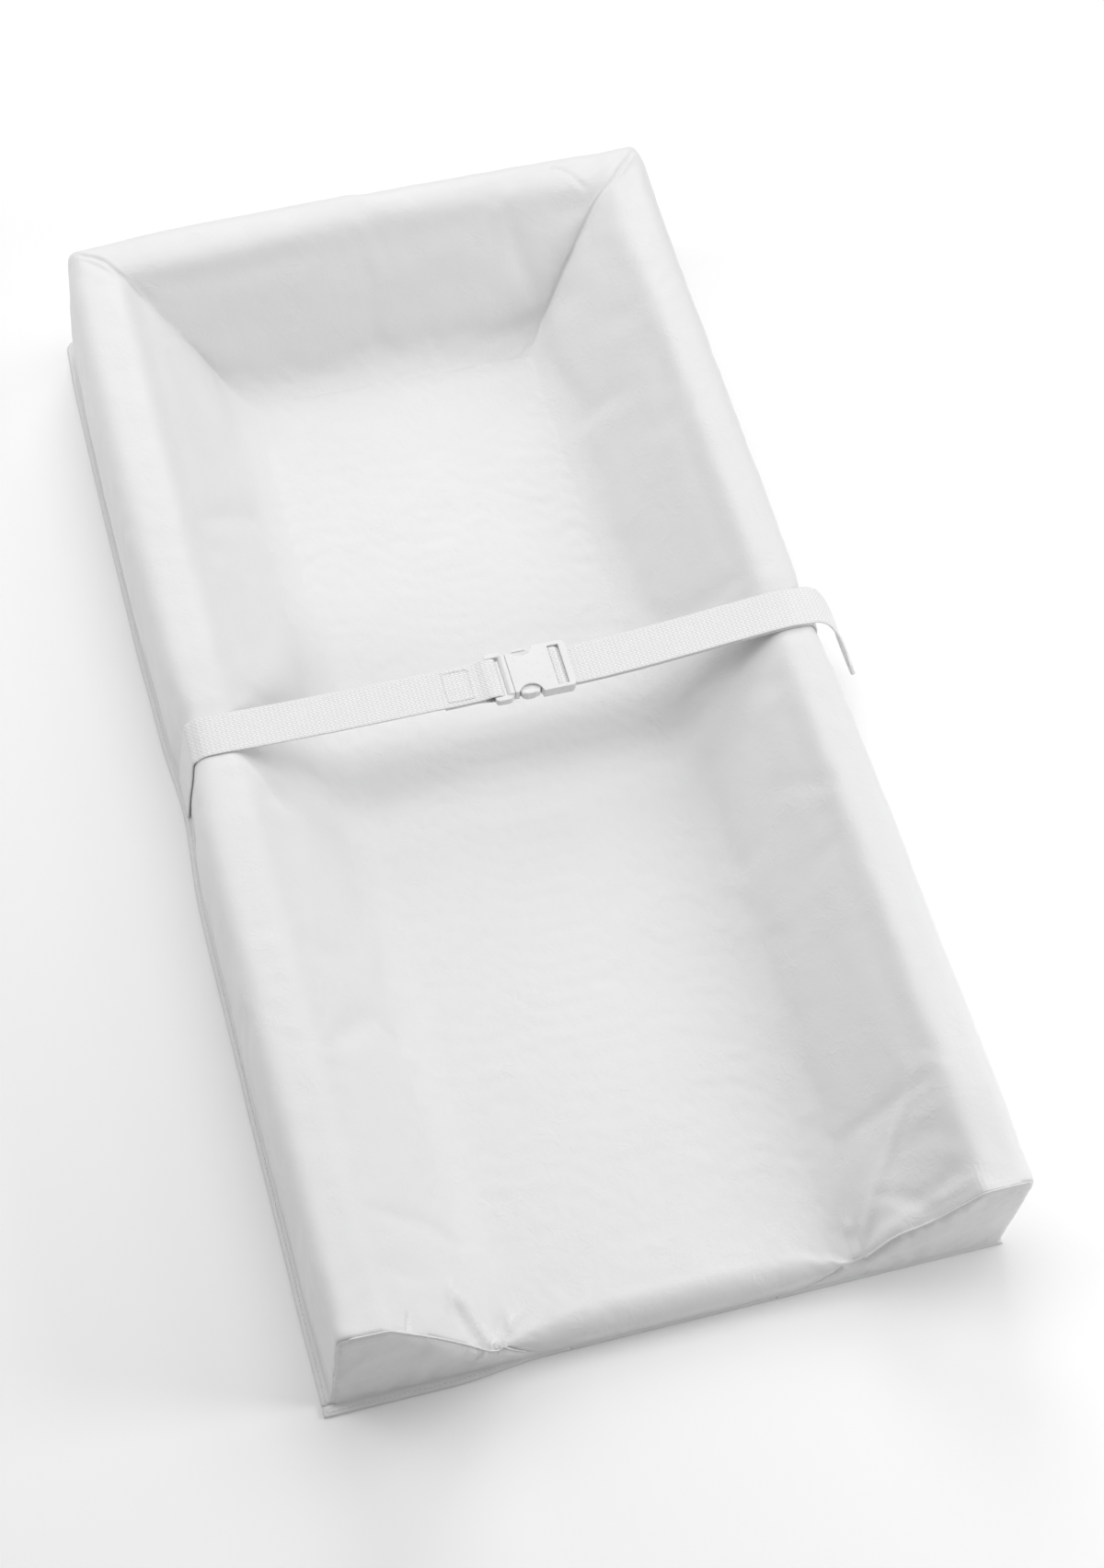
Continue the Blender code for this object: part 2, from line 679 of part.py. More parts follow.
def build_plug(finish):
    """Webbing bar with ears, collar and the guide tongue that slides into the socket."""
    slot_start = PLUG_BAR_X + PLUG_BAR_WIDTH
    slot_end = slot_start + PLUG_SLOT
    collar_end = slot_end + COLLAR_LENGTH
    ear = EAR_HALF_WIDTH
    frame = round_corners(
        [
            (PLUG_BAR_X, 0.0, 0.0),
            (PLUG_BAR_X, ear, 0.0022),
            (slot_end - 0.0010, ear, 0.0030),
            (slot_end + 0.0016, CAVITY_HALF_WIDTH, 0.0),
            (collar_end, CAVITY_HALF_WIDTH, 0.0),
        ],
        3,
    )
    outline = mirrored([(p.x, p.y) for p in frame])
    plug = prism("buckle_plug", outline, -PLUG_HALF_HEIGHT, PLUG_HALF_HEIGHT, "z", finish)
    at_buckle(plug)
    low = (slot_start, -SLOT_HALF_WIDTH, -OUTSIDE)
    high = (slot_end, SLOT_HALF_WIDTH, OUTSIDE)
    add_cutter(plug, at_buckle(box("plug_slot", low, high, finish)))
    reliefs = {
        "upper": (PLUG_BAR_HALF_HEIGHT, OUTSIDE),
        "lower": (-OUTSIDE, -PLUG_BAR_HALF_HEIGHT),
    }
    for name, (bottom, top) in reliefs.items():
        low = (PLUG_BAR_X - 0.001, -SLOT_HALF_WIDTH, bottom)
        high = (slot_start + 0.001, SLOT_HALF_WIDTH, top)
        add_cutter(plug, at_buckle(box("plug_bar_relief_" + name, low, high, finish)))
    tongue = [
        (collar_end - 0.001, -TONGUE_HALF_WIDTH),
        (TONGUE_END_X - 0.0022, -TONGUE_HALF_WIDTH),
        (TONGUE_END_X, -TONGUE_HALF_WIDTH / 2),
    ]
    tongue += [(x, -y) for x, y in reversed(tongue)]
    thin = PLUG_HALF_HEIGHT - 0.0002
    guide = prism("plug_tongue", tongue, -thin, thin, "z", finish)
    add_union(plug, at_buckle(guide))
    return plug


def build_latch_arm(name, side, finish):
    """Springy arm beside the tongue, with the thumb pad that shows in the socket's side."""
    inner = [(ARM_ROOT_X, 0.0082), (0.0210, 0.0082), (TONGUE_END_X, 0.0098)]
    outer = [
        (0.0264, 0.0116),
        (0.0214, 0.0136),
        (0.0200, 0.0158),
        (0.0180, 0.0166),
        (0.0120, 0.0166),
        (0.0090, 0.0156),
        (0.0082, 0.0128),
        (0.0070, 0.0112),
        (ARM_ROOT_X, 0.0108),
    ]
    outline = [(x, side * y) for x, y in inner + outer]
    arm = prism(name, outline, -ARM_HALF_HEIGHT, ARM_HALF_HEIGHT, "z", finish)
    pivot = Vector((ARM_ROOT_X + 0.0004, side * ARM_PIVOT_Y, 0.0))
    set_origin(arm, pivot)
    arm.location = pivot + Vector((0.0, BELT_Y_BUCKLE, BUCKLE_Z))
    add_bevel(arm, 0.0004, 1)
    return arm


def build_socket(finish):
    """Housing with side windows for the thumb pads, and a ladder of two bars for the webbing."""
    wide = SOCKET_HALF_WIDTH
    frame = round_corners(
        [
            (SOCKET_MOUTH_X, 0.0, 0.0),
            (SOCKET_MOUTH_X, 0.0152, 0.0010),
            (SOCKET_MOUTH_X + 0.0030, 0.0158, 0.0030),
            (SOCKET_MOUTH_X + 0.0060, wide, 0.0030),
            (SOCKET_END_X, wide, 0.0022),
            (SOCKET_END_X, 0.0, 0.0),
        ],
        3,
    )
    outline = mirrored([(p.x, p.y) for p in frame[:-1]])
    high = BUCKLE_HALF_HEIGHT
    socket = at_buckle(prism("buckle_socket", outline, -high, high, "z", finish))
    cuts = {
        "socket_cavity": (
            (SOCKET_MOUTH_X - OUTSIDE, -CAVITY_HALF_WIDTH, -CAVITY_HALF_HEIGHT),
            (SOCKET_BODY_END_X - 0.0020, CAVITY_HALF_WIDTH, CAVITY_HALF_HEIGHT),
        ),
        "ladder_near_slot": (
            (SOCKET_BODY_END_X, -SLOT_HALF_WIDTH, -OUTSIDE),
            (BAR_NEAR_X, SLOT_HALF_WIDTH, OUTSIDE),
        ),
        "ladder_far_slot": (
            (BAR_NEAR_X + BAR_NEAR_WIDTH, -SLOT_HALF_WIDTH, -OUTSIDE),
            (BAR_FAR_X, SLOT_HALF_WIDTH, OUTSIDE),
        ),
        "near_bar_upper_relief": (
            (SOCKET_BODY_END_X, -SLOT_HALF_WIDTH, 0.0016),
            (BAR_FAR_X, SLOT_HALF_WIDTH, OUTSIDE),
        ),
        "near_bar_lower_relief": (
            (SOCKET_BODY_END_X, -SLOT_HALF_WIDTH, -OUTSIDE),
            (BAR_FAR_X, SLOT_HALF_WIDTH, -0.0009),
        ),
        "far_bar_lower_relief": (
            (BAR_FAR_X - 0.001, -SLOT_HALF_WIDTH, -OUTSIDE),
            (SOCKET_END_X + 0.001, SLOT_HALF_WIDTH, 0.0016),
        ),
    }
    for name, (low, top) in cuts.items():
        add_cutter(socket, at_buckle(box(name, low, top, finish)))
    x, y = WINDOW_CENTRE
    for name, side in (("head", 1), ("foot", -1)):
        rim = arc((x, side * y), WINDOW_RADIUS, 0, 180 * -side, 10)
        outline = [(p.x, p.y) for p in rim]
        outline += [(x - WINDOW_RADIUS, side * (y + 0.002)), (x + WINDOW_RADIUS, side * (y + 0.002))]
        window = prism("thumb_window_" + name, outline, -OUTSIDE, OUTSIDE, "z", finish)
        add_cutter(socket, at_buckle(window))
    return socket


# ---------------------------------------------------------------- furniture anchors
def disc(name, centre, radius, low, high, finish, hole=0.0, sides=24):
    """A round plate, or a ring where hole is given."""
    x, y = centre
    turn = [2 * math.pi * k / sides for k in range(sides)]
    rim = [(x + radius * math.cos(a), y + radius * math.sin(a)) for a in turn]
    plate = prism(name, rim, low, high, "z", finish)
    if hole:
        inner = [(x + hole * math.cos(a), y + hole * math.sin(a)) for a in turn]
        cutter = prism(name + "_hole", inner, low - OUTSIDE, high + OUTSIDE, "z", finish)
        add_cutter(plate, cutter)
    return plate


def build_anchor(name, webbing, steel):
    """Webbing tab sewn across the underside, with a press-stud cap and socket at its free end."""
    line, way = anchor_lines()[name]
    low = GAP + 0.0013
    start = line + way * 0.0006
    end = line + way * ANCHOR_LENGTH
    half = ANCHOR_WIDTH / 2
    stud = (0.0, end - way * STUD_FROM_END)
    cut = end - way * STRAP_CORNER
    outline = [(-half, start), (half, start), (half, cut), (half - STRAP_CORNER, end)]
    outline += [(-half + STRAP_CORNER, end), (-half, cut)]
    strap = prism(f"anchor_strap_{name}", outline, low, low + STRAP_SHEET, "z", webbing)
    hole = disc(f"anchor_{name}_stud_hole", stud, STUD_HOLE_RADIUS, -OUTSIDE, OUTSIDE, steel)
    add_cutter(strap, hole)
    cap = disc(f"anchor_{name}_stud_cap", stud, STUD_RADIUS, GAP, low - GAP, steel)
    post = disc(f"anchor_{name}_stud_post", stud, STUD_POST_RADIUS, 2 * GAP, STUD_POST_TOP, steel)
    add_union(cap, post)
    bottom = low + STRAP_SHEET + GAP
    top = bottom + STUD_SOCKET_HEIGHT
    ring = disc(f"anchor_{name}_stud_socket", stud, STUD_SOCKET_RADIUS, bottom, top, steel, STUD_SOCKET_HOLE)
    for piece in (strap, cap, ring):
        set_origin(piece, (0.0, line, 0.0))


# ---------------------------------------------------------------- label
def build_label(finish):
    """Blank sewn-in label that stands against the head wall."""
    wall = HEAD_Y + SHEET - 0.0002
    low = (LABEL_LEFT_X, wall, LIP_TOP + GAP)
    high = (LABEL_RIGHT_X, wall + LABEL_SHEET, LABEL_TOP)
    return box("care_label", low, high, finish)


def main():
    clear_scene()
    looks = make_materials()
    build_slab(looks["foam"])
    build_side_bolster("foam_left_bolster", -1, looks["foam"])
    build_side_bolster("foam_right_bolster", 1, looks["foam"])
    build_head_bolster(looks["foam"])
    build_top_panel(looks["vinyl"])
    build_gusset("cover_foot_gusset_left", -1, looks["vinyl"])
    build_gusset("cover_foot_gusset_right", 1, looks["vinyl"])
    build_bottom_panel(looks["base"])
    build_left_strap(looks["webbing"])
    build_right_strap(looks["webbing"])
    build_tail(looks["webbing"])
    build_plug(looks["plastic"])
    build_latch_arm("latch_arm_head_side", 1, looks["plastic"])
    build_latch_arm("latch_arm_foot_side", -1, looks["plastic"])
    build_socket(looks["plastic"])
    build_anchor("head", looks["webbing"], looks["steel"])
    build_anchor("foot", looks["webbing"], looks["steel"])
    build_label(looks["label"])


main()
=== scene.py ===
"""Looks of the contoured changing pad: a wrinkled vinyl cover over foam, woven belt, moulded buckle.

All sizes are in metres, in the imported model's own frame: +Y towards the head, +Z up."""

import math

import bmesh
import bpy
import numpy as np
from mathutils import Matrix, Vector, geometry, noise
from mathutils.bvhtree import BVHTree


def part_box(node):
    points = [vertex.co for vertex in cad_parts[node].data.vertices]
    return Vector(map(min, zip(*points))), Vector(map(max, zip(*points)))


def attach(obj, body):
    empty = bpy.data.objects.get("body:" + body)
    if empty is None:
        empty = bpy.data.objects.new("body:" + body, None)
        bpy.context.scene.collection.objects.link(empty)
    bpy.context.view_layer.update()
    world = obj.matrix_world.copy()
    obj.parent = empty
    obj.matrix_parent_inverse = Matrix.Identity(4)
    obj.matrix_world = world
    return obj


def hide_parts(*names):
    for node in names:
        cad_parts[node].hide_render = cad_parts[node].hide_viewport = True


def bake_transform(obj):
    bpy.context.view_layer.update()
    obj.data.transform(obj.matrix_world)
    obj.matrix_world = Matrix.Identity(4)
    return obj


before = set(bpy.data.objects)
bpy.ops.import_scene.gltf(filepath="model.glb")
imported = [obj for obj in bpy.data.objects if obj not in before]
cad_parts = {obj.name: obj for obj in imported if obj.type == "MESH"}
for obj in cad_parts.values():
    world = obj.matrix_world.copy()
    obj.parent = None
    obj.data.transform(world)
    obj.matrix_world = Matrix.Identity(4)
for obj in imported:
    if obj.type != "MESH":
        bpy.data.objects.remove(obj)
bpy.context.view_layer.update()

# ---- sizes read from the frame ----
FLANGE = 0.0060  # seam allowance round the base
base_low, base_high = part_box("cover_bottom_panel")
HALF = base_high.x - FLANGE
HEAD = base_high.y - FLANGE
FOOT = base_low.y + FLANGE
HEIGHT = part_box("cover_top_panel")[1].z
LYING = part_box("foam_base_slab")[1].z + 0.0016
RIM_AT_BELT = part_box("belt_tail")[1].z - 0.0037
socket_low, socket_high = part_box("buckle_socket")
BUCKLE_Y = (socket_low.y + socket_high.y) / 2
BUCKLE_Z = (socket_low.z + socket_high.z) / 2
SOCKET_END_X = socket_high.x
PLUG_BAR_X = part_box("buckle_plug")[0].x

# ---- the cover's shape ----
CELL = 0.0060  # size of the simulated mesh's cells
SHEET = 0.0007
LIP = 0.0022  # where the walls meet the flange
FLANGE_FALL = 0.0009  # how much lower its outer edge lies
CREST_IN = 0.0305  # from a wall's foot to the inner edge of its crest
VALLEY_IN = 0.0965  # and to the valley
WALL_TOP_IN = 0.0015
RIM_RADIUS = 0.0085
TOP_LEAN = 0.0035  # the rims stand this much to the right of the walls' feet
CREST_RADIUS = 0.0150
VALLEY_RADIUS = 0.0450
VALLEY_TURN = 0.0097  # how far in from the valley the lying surface's own mesh starts
CORNER_RADIUS = 0.0036  # head corners, seen from above
INNER_RADIUS = 0.0025
FOOT_DROP_LENGTH = 0.0700
BELT_DIP = 0.0030
FOOT_ROLL = 0.0120
SEAM_TIP_X = 0.0620  # where a gusset's seam runs out at the base
SEAM_CURVE = 0.45
LEG_COLUMNS = 134
CORNER_COLUMNS = 4
HEAD_COLUMNS = 66

# how far the walls stand out from the straight line, along a side: (y, shift); on the right only the rim
LEFT_SHIFT = [
    (-0.4015, 0.0000), (-0.3300, 0.0010), (-0.1900, 0.0020), (-0.0700, 0.0026), (0.0020, -0.0004),
    (0.0700, 0.0018), (0.1500, 0.0034), (0.2600, 0.0040), (0.3600, 0.0036), (0.4075, 0.0018),
]  # fmt: skip
RIGHT_SHIFT = [
    (-0.4015, 0.0020), (-0.2000, 0.0004), (0.0020, -0.0022), (0.1500, -0.0016), (0.3000, 0.0),
    (0.4075, 0.0020),
]  # fmt: skip
HEAD_SHIFT = [(-0.2045, 0.0000), (-0.1400, 0.0016), (0.0000, 0.0022), (0.1400, 0.0016), (0.2045, 0.0004)]
# how far the head end leans out at its rim, and at the inner edge of its crest, along x
HEAD_RIM_LEAN = [(-0.2045, 0.0025), (-0.1000, 0.0052), (0.0000, 0.0070), (0.2045, 0.0110)]
HEAD_CREST_LEAN = [(-0.2045, 0.0), (-0.1200, 0.0035), (0.0, 0.0105), (0.1000, 0.0105), (0.2045, 0.0070)]
HEAD_CROWN = 0.0025  # how much the head's crest stands up in its middle
# how much of the base's seam allowance shows along the foot: (x, share)
FOOT_FLANGE = [(-0.2105, 1.0), (-0.1350, 1.0), (-0.0750, 0.22), (0.2105, 0.20)]
# how far the walls swell between base and rim
SIDE_PUFF = [
    (-0.4015, 0.0004), (-0.3500, 0.0030), (-0.1900, 0.0050), (-0.0700, 0.0046), (0.0020, 0.0004),
    (0.0700, 0.0044), (0.1800, 0.0058), (0.3000, 0.0052), (0.3700, 0.0034), (0.4075, 0.0006),
]  # fmt: skip
HEAD_PUFF = [(-0.2045, 0.0006), (-0.1300, 0.0040), (0.0, 0.0048), (0.1300, 0.0040), (0.2045, 0.0006)]

# ---- the belt ----
WEBBING = 0.0290
WEBBING_SHEET = 0.0014
LIFT = 0.0003 + WEBBING_SHEET / 2
LAYER = WEBBING_SHEET + 0.0003
BELT_Z = RIM_AT_BELT + LIFT
BELT_SAG = 0.0080
BELT_Y_LEFT = -0.0010
BELT_Y_RIGHT = 0.0055
LEAVE_X = HALF - CREST_IN + 0.0065
LEFT_ANCHOR_SHIFT = 0.0180
RIGHT_ANCHOR_SHIFT = 0.0070
TAIL_X = 0.1955
WEAVE_PITCH = 0.0029
WEAVE_DEPTH = 0.00026
WEAVE_ROW = WEAVE_PITCH / 5
BAR_NEAR = 0.0343
LEFT_HEM_X = -0.0400
HEM = 0.0115
SOCKET_MOUTH_X = 0.0049
SOCKET_HALF_HEIGHT = 0.0040
VOXEL = 0.00028

# ---- cloth ----
PRESSURE = 2.0
SLACK = 0.006
MOST_SWELL = 0.0026
CLOTH_FRAMES = 20

# ---- foam: the pieces and the nodes that they stand for ----
FOAMS = {"foam_base": "foam_base_slab"}
FOAMS |= {"foam_" + side: f"foam_{side}_bolster" for side in ("left", "right", "head")}

# ---- underside ----
DOT_HEIGHT = 0.0004
DOT_RADIUS = 0.0012
DOT_PITCH = 0.0085
POCKET_ROOF = 0.0052
POCKET_MIDDLE = 0.052  # from a strap's sewn line
POCKET_HALF_X = 0.0165
POCKET_HALF_Y = 0.0560
ANCHOR_WIDTH = 0.0254
BELT_STITCH = 0.0024
ANCHORS = {"head": (0.3875, -1), "foot": (-0.3815, 1)}  # each strap's sewn line and the way it lies
LABEL_X = -0.1025

MITRE_PULL = 0.0050  # how far the right slope stands in beside the head
MITRE_SEAM = (-0.0013, 0.0017, 0.3, 0.0)  # its sewn corner: height, width, notch left, notch right
# folds, each as (height, width, notch left, notch right, line in mm)
CREASES = [
    (0.0034, 0.0050, 0.5, 0.1, [(-109, -401, 30), (-115, -391, 38), (-124, -376, 47), (-130, -362, 54)]),
    (0.0010, 0.0034, 0.3, 0.3, [(-108, -402, 28), (-102, -395, 29), (-95, -388, 30), (-88, -380, 30)]),
    (-0.0012, 0.0017, 0.1, 0.4, [(-158, -402, 89), (-157, -396, 88), (-156, -388, 87)]),
    (
        0.0012, 0.0046, 0.1, 0.15,
        [(110, -402, 30), (122, -384, 44), (134, -364, 58), (147, -343, 73), (168, -312, 97)],
    ),
    (
        0.0008, 0.0050, 0.3, 0.1,
        [(111, -401, 31), (127, -397, 49), (145, -395, 68), (173, -394, 94), (186, -391, 97)],
    ),
    (0.0008, 0.0034, 0.3, 0.3, [(110, -401, 30), (111, -387, 31), (113, -374, 33)]),
    (
        -0.0022, 0.0070, 0.1, 0.1,
        [(-172, -6, 99), (-165, -17, 92), (-157, -30, 82), (-149, -45, 74), (-141, -58, 64)],
    ),
    (-0.0010, 0.0030, 0.2, 0.2, [(140, 405, 102), (150, 398, 102), (158, 386, 101), (165, 379, 99)]),
    (
        -0.0014, 0.0018, 0.15, 0.2,
        [(-199, 402, 101), (-190, 398, 101), (-180, 391, 101), (-171, 378, 99), (-150, 350, 76)],
    ),
]  # fmt: skip


# ---------------------------------------------------------------- numbers
def ease(value):
    value = np.clip(value, 0.0, 1.0)
    return value * value * (3 - 2 * value)


def keyed(x, keys):
    """Value at x of a curve that eases from key to key."""
    places, values = (np.array(column) for column in zip(*keys))
    x = np.clip(x, places[0], places[-1])
    i = np.clip(np.searchsorted(places, x, side="right") - 1, 0, len(places) - 2)
    share = ease((x - places[i]) / (places[i + 1] - places[i]))
    return values[i] + (values[i + 1] - values[i]) * share


def arc(centre, radius, start, end, steps):
    turn = np.radians(np.linspace(start, end, steps + 1))
    return [(centre[0] + radius * math.cos(a), centre[1] + radius * math.sin(a)) for a in turn]


def rounded(corners, steps=8):
    """Corners are (u, v, radius); each radius becomes an arc tangent to both sides."""
    path = []
    for i, (u, v, radius) in enumerate(corners):
        here = Vector((u, v))
        if radius == 0.0:
            path.append(tuple(here))
            continue
        back = (Vector(corners[i - 1][:2]) - here).normalized()
        on = (Vector(corners[(i + 1) % len(corners)][:2]) - here).normalized()
        half = back.angle(on) / 2
        centre = here + (back + on).normalized() * (radius / math.sin(half))
        start = (here + back * (radius / math.tan(half)) - centre).normalized()
        end = (here + on * (radius / math.tan(half)) - centre).normalized()
        for k in range(steps + 1):
            path.append(tuple(centre + start.slerp(end, k / steps).normalized() * radius))
    return path


def evenly(path, step):
    """The path again, in points about step apart."""
    path = np.array(path, float)
    along = np.concatenate([[0], np.cumsum(np.linalg.norm(np.diff(path, axis=0), axis=1))])
    at = np.linspace(0, along[-1], max(2, int(round(along[-1] / step)) + 1))
    return np.stack([np.interp(at, along, path[:, k]) for k in range(path.shape[1])], axis=1)


def smooth_path(points, per_span=12):
    """A curve through the points, by cubic spans."""
    nodes = np.array(points, float)
    ways = (np.vstack([nodes[1:], nodes[-1:]]) - np.vstack([nodes[:1], nodes[:-1]])) / 2
    path = [nodes[0]]
    for i in range(len(nodes) - 1):
        for k in range(1, per_span + 1):
            t = k / per_span
            path.append(
                nodes[i] * (2 * t**3 - 3 * t**2 + 1)
                + ways[i] * (t**3 - 2 * t**2 + t)
                + nodes[i + 1] * (3 * t**2 - 2 * t**3)
                + ways[i + 1] * (t**3 - t**2)
            )
    return np.array(path)


def fractal(points, size, seed, octaves=3):
    """Smooth noise about -1 to 1 at each point, with features about size across."""
    shift = Vector((seed * 7.3, seed * 3.1, seed * 5.7))
    found = [noise.fractal(Vector(p) / size + shift, 0.9, 2.0, octaves) for p in points]
    return np.array(found)


# ---------------------------------------------------------------- meshes
def placed(name, data):
    """A new object in the scene."""
    obj = bpy.data.objects.new(name, data)
    bpy.context.scene.collection.objects.link(obj)
    return obj


def new_object(name, vertices, faces, smooth=True):
    mesh = bpy.data.meshes.new(name)
    mesh.from_pydata([tuple(float(c) for c in v) for v in vertices], [], [tuple(f) for f in faces])
    mesh.validate()
    if smooth:
        mesh.shade_smooth()
    return placed(name, mesh)


def tube_faces(size, rings, first=0):
    """Faces of a closed tube whose vertices come ring by ring, from number first on."""
    faces = []
    for low in range(first, first + (rings - 1) * size, size):
        for k in range(size):
            j = (k + 1) % size
            faces.append([low + k, low + j, low + size + j, low + size + k])
    last = first + (rings - 1) * size
    return [*faces, list(range(first, first + size))[::-1], list(range(last, last + size))]


def edit(mesh, change):
    """Opens the mesh as a bmesh, changes it and puts it back."""
    made = bmesh.new()
    made.from_mesh(mesh)
    change(made)
    made.to_mesh(mesh)
    made.free()


def face_out(obj):
    edit(obj.data, lambda made: bmesh.ops.recalc_face_normals(made, faces=made.faces))
    return obj


def turn_faces(obj, way):
    """Turns all faces over if most of them face the other way from way, +1 up or -1 down."""
    mesh = obj.data
    lean = sum(p.normal.z * p.area for p in mesh.polygons)
    if lean * way < 0:
        mesh.flip_normals()
    return obj


def face_up(obj):
    return turn_faces(face_out(obj), 1)


def points_of(mesh):
    flat = np.zeros(len(mesh.vertices) * 3)
    mesh.vertices.foreach_get("co", flat)
    return flat.reshape(-1, 3)


def normals_of(mesh):
    flat = np.zeros(len(mesh.vertices) * 3, np.float32)
    mesh.vertex_normals.foreach_get("vector", flat)
    return flat.reshape(-1, 3).astype(float)


def set_points(mesh, points):
    mesh.vertices.foreach_set("co", np.asarray(points, np.float32).ravel())
    mesh.update()


def apply_modifiers(obj):
    graph = bpy.context.evaluated_depsgraph_get()
    made = bpy.data.meshes.new_from_object(obj.evaluated_get(graph))
    old = obj.data
    obj.modifiers.clear()
    obj.data = made
    bpy.data.meshes.remove(old)
    return obj


def modify(obj, kind, **settings):
    """Adds one modifier and applies it."""
    change = obj.modifiers.new("Change", kind)
    for name, value in settings.items():
        setattr(change, name, value)
    return apply_modifiers(obj)


def dress(obj, body, finish, slot, *stands_for):
    """Material, body and the CAD nodes that the piece stands for. The slot is not used."""
    obj.data.materials.clear()
    obj.data.materials.append(finish)
    if body:
        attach(obj, body)
    if stands_for:
        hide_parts(*stands_for)
    return obj


# ---------------------------------------------------------------- materials
class Look:
    """A Principled material and short ways to add procedural nodes to it."""

    def __init__(self, name, colour, roughness, metallic=0.0, specular=0.5):
        self.material = bpy.data.materials.new(name)
        self.material.use_nodes = True
        self.tree = self.material.node_tree
        self.shader = self.tree.nodes["Principled BSDF"]
        self.shader.inputs["Base Color"].default_value = (*colour, 1.0)
        self.shader.inputs["Roughness"].default_value = roughness
        self.shader.inputs["Metallic"].default_value = metallic
        self.shader.inputs["Specular IOR Level"].default_value = specular
        self.place = self.add("ShaderNodeTexCoord").outputs["Object"]

    def add(self, kind, inputs=None, **settings):
        node = self.tree.nodes.new(kind)
        for name, value in settings.items():
            setattr(node, name, value)
        for name, value in (inputs or {}).items():
            if hasattr(value, "is_output"):
                self.tree.links.new(value, node.inputs[name])
            else:
                node.inputs[name].default_value = value
        return node

    def noise(self, scale, detail=2.0, distortion=0.0, place=None, roughness=0.5):
        values = {"Vector": place or self.place, "Scale": scale, "Detail": detail}
        values |= {"Distortion": distortion, "Roughness": roughness}
        return self.add("ShaderNodeTexNoise", values).outputs["Fac"]

    def math(self, operation, first, second=0.0):
        node = self.add("ShaderNodeMath", operation=operation)
        for socket, value in zip(node.inputs, (first, second)):
            if hasattr(value, "is_output"):
                self.tree.links.new(value, socket)
            else:
                socket.default_value = value
        return node.outputs[0]

    def spread(self, value, low, high, to_low, to_high):
        names = ("From Min", "From Max", "To Min", "To Max")
        values = {"Value": value} | dict(zip(names, (low, high, to_low, to_high)))
        return self.add("ShaderNodeMapRange", values).outputs[0]

    def colours(self, share, first, second):
        node = self.add("ShaderNodeMix", data_type="RGBA")
        self.tree.links.new(share, node.inputs["Factor"])
        node.inputs[6].default_value = (*first, 1.0)
        node.inputs[7].default_value = (*second, 1.0)
        self.tree.links.new(node.outputs[2], self.shader.inputs["Base Color"])

    def rough(self, value):
        self.tree.links.new(value, self.shader.inputs["Roughness"])

    def bump(self, *layers):
        """Layers are (height output, distance in metres), stacked from the first to the last."""
        normal = None
        for height, distance in layers:
            values = {"Height": height, "Distance": distance, "Strength": 1.0}
            if normal:
                values["Normal"] = normal
            normal = self.add("ShaderNodeBump", values).outputs["Normal"]
        self.tree.links.new(normal, self.shader.inputs["Normal"])


def crinkles(look, scale):
    """Thin creased lines, as in soft vinyl that was folded in its packing."""
    wander = look.noise(scale * 0.35, 2.0)
    lines = look.math("ABSOLUTE", look.math("SUBTRACT", look.noise(scale, 3.0, 0.6), 0.5))
    sharp = look.math("POWER", look.math("SUBTRACT", 1.0, look.math("MULTIPLY", lines, 4.0)), 3.0)
    return look.math("MULTIPLY", sharp, look.spread(wander, 0.42, 0.68, 0.0, 1.0))


def make_vinyl():
    look = Look("white_vinyl", (0.755, 0.756, 0.758), 0.46, specular=0.42)
    look.colours(look.noise(9.0, 3.0), (0.742, 0.743, 0.746), (0.770, 0.771, 0.772))
    look.rough(look.spread(look.noise(35.0, 3.0), 0.3, 0.7, 0.40, 0.54))
    look.bump(
        (look.noise(22.0, 3.0, 0.4), 0.0012),
        (crinkles(look, 130.0), 0.00012),
        (look.noise(420.0, 3.0, 0.3), 0.00009),
        (look.noise(2200.0, 1.0), 0.00002),
    )
    return look.material


def make_base_vinyl():
    look = Look("nonskid_vinyl", (0.72, 0.725, 0.73), 0.62, specular=0.35)
    look.colours(look.noise(14.0, 3.0), (0.69, 0.695, 0.70), (0.74, 0.745, 0.75))
    look.rough(look.spread(look.noise(40.0, 3.0), 0.3, 0.7, 0.56, 0.70))
    look.bump((look.noise(30.0, 3.0, 0.4), 0.0016), (look.noise(900.0, 2.0), 0.00006))
    return look.material


def make_foam():
    look = Look("foam", (0.83, 0.76, 0.56), 0.95, specular=0.15)
    look.colours(look.noise(60.0, 4.0), (0.78, 0.70, 0.49), (0.86, 0.80, 0.61))
    cells = look.add("ShaderNodeTexVoronoi", {"Vector": look.place, "Scale": 700.0}).outputs["Distance"]
    look.bump((cells, 0.0004), (look.noise(180.0, 3.0), 0.0006))
    return look.material


def make_webbing():
    look = Look("woven_webbing", (0.86, 0.86, 0.865), 0.68, specular=0.32)
    look.shader.inputs["Sheen Weight"].default_value = 0.25
    look.shader.inputs["Sheen Roughness"].default_value = 0.5
    weave = look.add("ShaderNodeAttribute", attribute_name="weave").outputs["Vector"]
    stretched = look.add("ShaderNodeMapping", {"Vector": weave, "Scale": (500.0, 4200.0, 1.0)})
    yarn = look.noise(1.0, 2.0, 0.2, stretched.outputs[0])
    # The webbing's colour darkens with the weave's relief, lightest on the yarn tops and darkest in the
    # grooves: painted shade in the grooves.
    shade = look.add("ShaderNodeAttribute", attribute_name="weave_depth").outputs["Fac"]
    look.colours(shade, (0.68, 0.68, 0.682), (0.94, 0.94, 0.942))
    look.rough(look.spread(yarn, 0.3, 0.7, 0.6, 0.78))
    look.bump((yarn, 0.00008))
    return look.material


